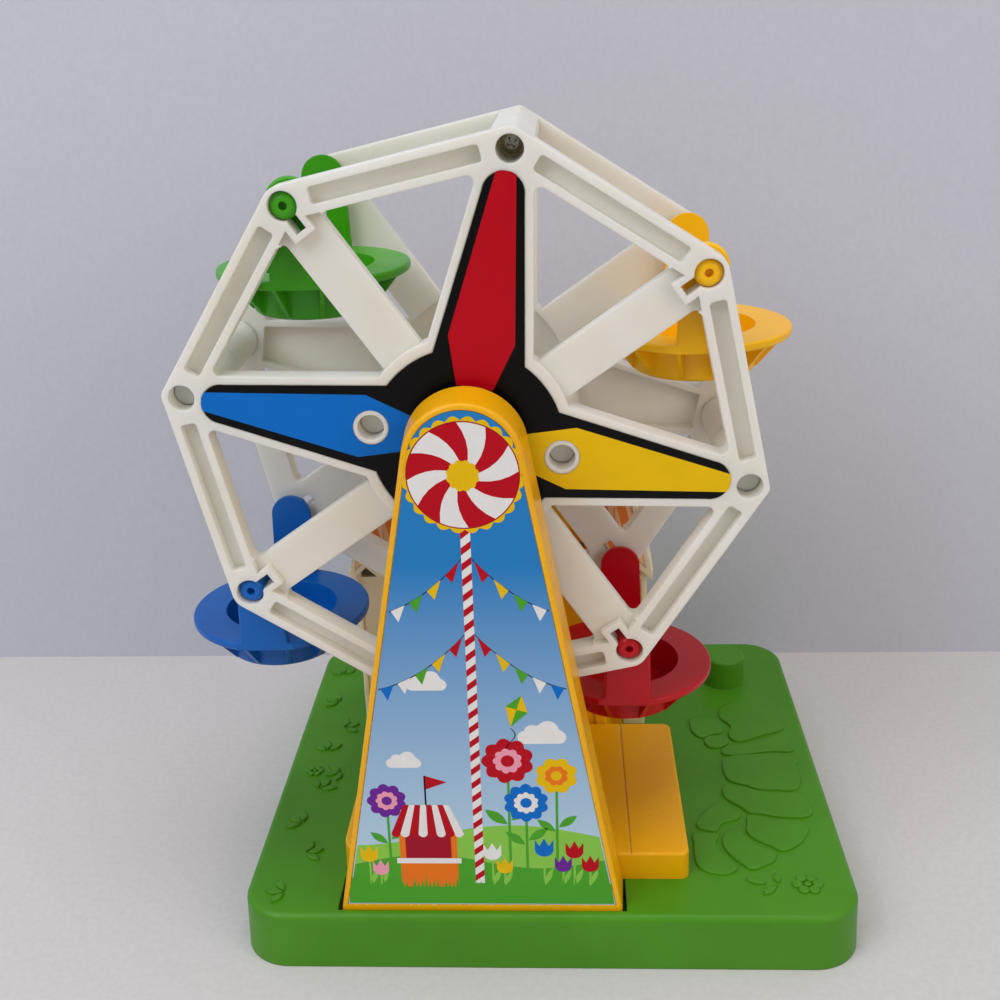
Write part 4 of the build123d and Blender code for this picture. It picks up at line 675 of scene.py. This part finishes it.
SCREWS = {"wheel_screws": "wheel", "front_tower_screws": "stand", "rear_tower_screws": "stand",
          "housing_screws": "stand", "stand_screws": "stand", "base_screws": "stand", "booth_screws": "stand",
          "gear_plate_screws": "stand", "comb_screws": "stand"}
for name, body in SCREWS.items():
    mesh = bmesh.new()
    patterns = {}
    for number, corners in enumerate(loose_solids(name)):
        top, down, head, height, shank, length = screw_measures(corners)
        size = tuple(round(v, 5) for v in (head, height, shank, length))
        if size not in patterns:
            patterns[size] = cross_head_screw(head, height, shank, length)
        single = patterns[size].copy()
        # each screw stopped at its own turn
        single.transform(Matrix.Translation(top) @ (-down).to_track_quat("Z", "Y").to_matrix().to_4x4()
                         @ Matrix.Rotation(0.9 * number + 0.3, 4, "Z"))
        mesh.from_mesh(single)
        bpy.data.meshes.remove(single)
    for pattern in patterns.values():
        bpy.data.meshes.remove(pattern)
    finish_mesh(name.replace("screws", "cross_screws"), mesh, [zinc_steel], body, name)

# ---------------------------------------------------------------- plugs in the wells that show no screw

# the screws stand deeper, in all six wells; only the top one is left open to show its screw
PLUG_RADIUS, PLUG_LENGTH = 5.0, 12.0
PLUG_DEPTH = 8.0                   # from the wheel's front face, in mm
PLUG_EDGE = 0.5
plugs = bmesh.new()
plug_axes = [(WELL_FROM_HUB, 90), (WELL_FROM_HUB, -90), (BORE_CIRCLE, 90), (BORE_CIRCLE, -90),
             (BORE_CIRCLE, 180)]
plug_y = star_low.y + (PLUG_DEPTH + PLUG_LENGTH / 2) * MM
for radius, angle in plug_axes:
    around = math.radians(angle) + REST_TURN
    middle = Vector((axle.x + radius * MM * math.sin(around), plug_y,
                     axle.z + radius * MM * math.cos(around)))
    standing = Matrix.Translation(middle) @ Matrix.Rotation(math.pi / 2, 4, "X")
    plug = bmesh.ops.create_cone(plugs, cap_ends=True, segments=32, radius1=PLUG_RADIUS * MM,
                                 radius2=PLUG_RADIUS * MM, depth=PLUG_LENGTH * MM,
                                 matrix=standing)["verts"]
    rims = list({edge for corner in plug for edge in corner.link_edges
                 if max(len(face.verts) for face in edge.link_faces) > 4})
    bmesh.ops.bevel(plugs, geom=rims, offset=PLUG_EDGE * MM, affect="EDGES", segments=3, profile=0.5,
                    material=-1)
finish_mesh("well_plugs", plugs, [wheel_ivory], "wheel")

# ---------------------------------------------------------------- relief on the base's top

RELIEF_ABOVE, RELIEF_THICK, RELIEF_EDGE = 1.2, 2.4, 0.6
# the paving's outlines are in mm, measured from here to the right and to the back
PAVING_CORNER = (56.7, 43.3)
paving = [
    [(33.5, -9), (37.5, -17), (35.5, -23), (36.5, -29), (40, -31), (44, -29.5), (56, -23.5),
     (64, -19.5), (65.5, -13), (64, -8), (60, -2), (56, 5), (45, 7), (37, 4), (33, -3)],
    [(30, -42), (33, -43.5), (42, -42.5), (56, -40), (66, -39.5), (67.5, -36), (65.5, -30),
     (65, -24), (56, -27), (45, -33), (39, -34.5), (34, -35), (31, -38)],
    [(30, -47), (34.5, -44.5), (45, -43), (60, -42.5), (67, -44), (67.5, -48), (65.5, -53),
     (65.5, -64), (64, -70), (61, -73.5), (52, -73.5), (43, -72.5), (37, -69), (31, -66), (29, -60),
     (29, -52)],
    [(27, -72), (30, -69), (37, -71.5), (44, -74.5), (56, -76), (63, -76.5), (66, -83), (66.5, -90),
     (64, -94.5), (57, -95.5), (48, -94.5), (42, -92.5), (36.5, -91.5), (33, -87), (29, -83),
     (26.5, -79)],
    [(19.5, -87), (24, -85), (30, -89), (32.5, -93), (31, -96.5), (26, -98.5), (22.5, -101),
     (20, -105.5), (15, -105), (11.5, -103), (12.5, -97), (16, -92)],
    [(36, -94), (44, -96), (54, -98), (60, -99), (62, -103), (59, -111), (54, -117), (47.5, -120),
     (42, -116), (36, -111), (33.5, -106), (34.5, -100)],
    [(9, -108.5), (15, -107.5), (20, -109), (18.5, -115), (19, -120), (24, -127), (26, -132),
     (23, -135.5), (17, -136.5), (12, -134.5), (9, -131), (8, -124), (8.5, -115)],
    [(25, -106), (30, -105), (33, -111), (38, -117), (44, -122.5), (43, -127), (38, -130.5),
     (32.5, -133), (28, -129), (23, -121), (21.5, -114)],
    [(18, -9), (24, -8), (31, -11), (32.5, -17), (32, -22.5), (27, -24), (21.5, -27.5), (18, -24),
     (16.5, -18)],
    [(24, -27), (30, -25.5), (34, -27.5), (34.5, -32), (31, -35.5), (25, -36.5), (22.5, -33)],
]
GARDEN_FLOWER = (54.5, -142.5)     # a flower between two leaves, from the paving's corner
# where each sprig of three leaves grows, and its heading in degrees
sprigs = [(-114.1, -105.7, 180), (-110.8, -79.2, 20), (-115.8, -56.7, 150), (-113.3, -29.2, 60),
          (-104.3, -13.7, 205), (-115.0, 4.3, 95), (-110.0, 26.3, 30), (-116.3, 53.3, 160),
          (-119.3, 83.3, 100)]
SPRIG_GAP, SPRIG_LEAF, SPRIG_WIDTH = 1.2, 7.6, 3.3
LEFT_FLOWER = (-118.3, -13.7)

relief = bmesh.new()
relief_level = BASE_TOP - (RELIEF_THICK / 2 - RELIEF_ABOVE) * MM


def raise_shape(outline, x=0.0, y=0.0):
    """Adds a raised shape with soft edges to the base's relief; x and y are in mm."""
    plate = flat_plate([outline], RELIEF_THICK, RELIEF_EDGE, True)
    add_plate(relief, plate, Matrix.Translation((x * MM, y * MM, relief_level)) @ Matrix.Scale(MM, 4))


for stone in paving:
    raise_shape(stone, *PAVING_CORNER)
flower_x, flower_y = (a + b for a, b in zip(PAVING_CORNER, GARDEN_FLOWER))
for x, y in ((flower_x, flower_y), LEFT_FLOWER):
    reach = 4.4 if x > 0 else 3.0
    for petal in range(6):
        raise_shape(turned(arc(reach, 0, reach * 0.52, steps=10), 60 * petal), x, y)
    raise_shape(arc(0, 0, reach * 0.36, steps=10), x, y)
for x, y, heading, length in ((-26, 3, -18, 9), (-13, 6.5, -80, 6), (-20, -7, 40, 9)):
    raise_shape(turned(leaf_outline(length, SPRIG_WIDTH), heading), flower_x + x, flower_y + y)
for x, y, heading in sprigs:
    for spread in (-52, 0, 52):
        leaf = [(SPRIG_GAP + a, b) for a, b in leaf_outline(SPRIG_LEAF, SPRIG_WIDTH)]
        raise_shape(turned(leaf, heading + spread), x, y)
finish_mesh("base_relief", relief, [base_green], "stand")

# ---------------------------------------------------------------- floor, light and camera


def stage_sheet(name, corners, material):
    """A flat sheet of the stage, which is no part of the object."""
    mesh = bmesh.new()
    mesh.faces.new([mesh.verts.new(corner) for corner in corners])
    data = bpy.data.meshes.new(name)
    mesh.to_mesh(data)
    mesh.free()
    sheet = bpy.data.objects.new(name, data)
    bpy.context.scene.collection.objects.link(sheet)
    data.materials.append(material)


def paper(name, dark, pale):
    """Matt paper; its back is clear, so that a wall of it hides nothing from behind."""
    material, shader = new_material(name, Roughness=0.85)
    tree = material.node_tree
    place = add_node(material, "ShaderNodeTexCoord").outputs["Object"]
    grain = add_node(material, "ShaderNodeTexNoise", {"Scale": 1 / (PAPER_GRAIN * MM), "Detail": 3.0},
                     {"Vector": place})
    body = add_node(material, "ShaderNodeValToRGB", None, {"Fac": grain.outputs["Fac"]},
                    [(0.3, linear(dark)), (0.7, linear(pale))])
    tree.links.new(body.outputs["Color"], shader.inputs["Base Color"])
    facing_back = add_node(material, "ShaderNodeNewGeometry").outputs["Backfacing"]
    clear = add_node(material, "ShaderNodeBsdfTransparent").outputs["BSDF"]
    mixed = add_node(material, "ShaderNodeMixShader", None,
                     {0: facing_back, 1: shader.outputs["BSDF"], 2: clear})
    output = next(node for node in tree.nodes if node.type == "OUTPUT_MATERIAL")
    tree.links.new(mixed.outputs["Shader"], output.inputs["Surface"])
    return material


WALL = 0.155                       # the wall stands a little behind the base
SPREAD, HEIGHT = 3.0, 2.4
TABLE = -0.0002                    # a hair below the base, so that the two faces don't fall together
stage_sheet("table_top", [(x, y, TABLE) for x, y in ((-SPREAD, -SPREAD), (SPREAD, -SPREAD), (SPREAD, SPREAD),
                                                     (-SPREAD, SPREAD))],
            paper("table_paper", "#CECAC8", "#D4D0CE"))
stage_sheet("wall", [(-SPREAD, WALL, 0), (SPREAD, WALL, 0), (SPREAD, WALL, HEIGHT), (-SPREAD, WALL, HEIGHT)],
            paper("wall_paper", "#C4C6D0", "#C8CAD4"))


def soft_lamp(name, place, aim, size, power, colour="#FFFFFF"):
    """A soft box of a size in metres and a power in watts, turned towards a point."""
    data = bpy.data.lights.new(name, "AREA")
    data.shape = "RECTANGLE"
    data.size, data.size_y = size
    data.energy = power
    data.color = linear(colour)[:3]
    lamp = bpy.data.objects.new(name, data)
    bpy.context.scene.collection.objects.link(lamp)
    lamp.location = place
    lamp.rotation_euler = (Vector(aim) - Vector(place)).to_track_quat("-Z", "Y").to_euler()


MIDDLE, LOW_MIDDLE = (0, 0, 0.15), (0, 0, 0.1)     # the points of the object that the lamps face
soft_lamp("window", (-1.0, -1.0, 1.4), MIDDLE, (1.1, 1.1), 15, "#F2F6FF")
soft_lamp("fill", (1.2, -1.1, 0.9), MIDDLE, (1.2, 1.0), 7.5, "#FFF2E6")
soft_lamp("top", (0.1, -0.2, 1.7), LOW_MIDDLE, (1.2, 1.0), 8.5)
ROOM_LIGHT, ROOM_SEEN = 0.4, 0.8
world = bpy.data.worlds.new("room")
bpy.context.scene.world = world
world.use_nodes = True
backdrop = world.node_tree.nodes["Background"]
backdrop.inputs["Color"].default_value = linear("#E9E8EC")
# what the camera sees past the paper is paler than the light that the room gives
rays = add_node(world, "ShaderNodeLightPath")
seen = add_node(world, "ShaderNodeMath", {"operation": "ADD", "use_clamp": True},
                {0: rays.outputs["Is Camera Ray"], 1: rays.outputs["Is Transmission Ray"]})
strength = add_node(world, "ShaderNodeMapRange", {"To Min": ROOM_LIGHT, "To Max": ROOM_SEEN},
                    {"Value": seen.outputs["Value"]})
world.node_tree.links.new(strength.outputs["Result"], backdrop.inputs["Strength"])

# the camera of the photograph, fitted to the wheel's corners
PITCH, YAW, ROLL = math.radians(21.565), math.radians(-3.2106), math.radians(1.8763)
STAR_RIM = 2.7                     # from the wheel frame's front to the plane that was fitted, in mm
wheel_face = Vector((axle.x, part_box("wheel_front_frame")[0][1] + STAR_RIM * MM, axle.z))
CAMERA_FROM_WHEEL = Vector((37.3, -449.3, 154.1)) * MM
FOCAL_PIXELS, FRAME_PIXELS, SENSOR = 1244.67, 1000.0, 36.0
ahead = Vector((math.sin(YAW) * math.cos(PITCH), math.cos(YAW) * math.cos(PITCH), -math.sin(PITCH)))
level = Vector((math.cos(YAW), -math.sin(YAW), 0.0))
down = ahead.cross(level)
image_right = level * math.cos(ROLL) + down * math.sin(ROLL)
image_down = -level * math.sin(ROLL) + down * math.cos(ROLL)
camera_data = bpy.data.cameras.new("camera")
camera_data.sensor_width = SENSOR
camera_data.lens = FOCAL_PIXELS / FRAME_PIXELS * SENSOR
camera_data.clip_start = 0.01
camera = bpy.data.objects.new("camera", camera_data)
bpy.context.scene.collection.objects.link(camera)
facing = Matrix((image_right, -image_down, -ahead)).transposed().to_4x4()
camera.matrix_world = Matrix.Translation(wheel_face + CAMERA_FROM_WHEEL) @ facing
bpy.context.scene.camera = camera
bpy.context.scene.view_settings.view_transform = "Standard"
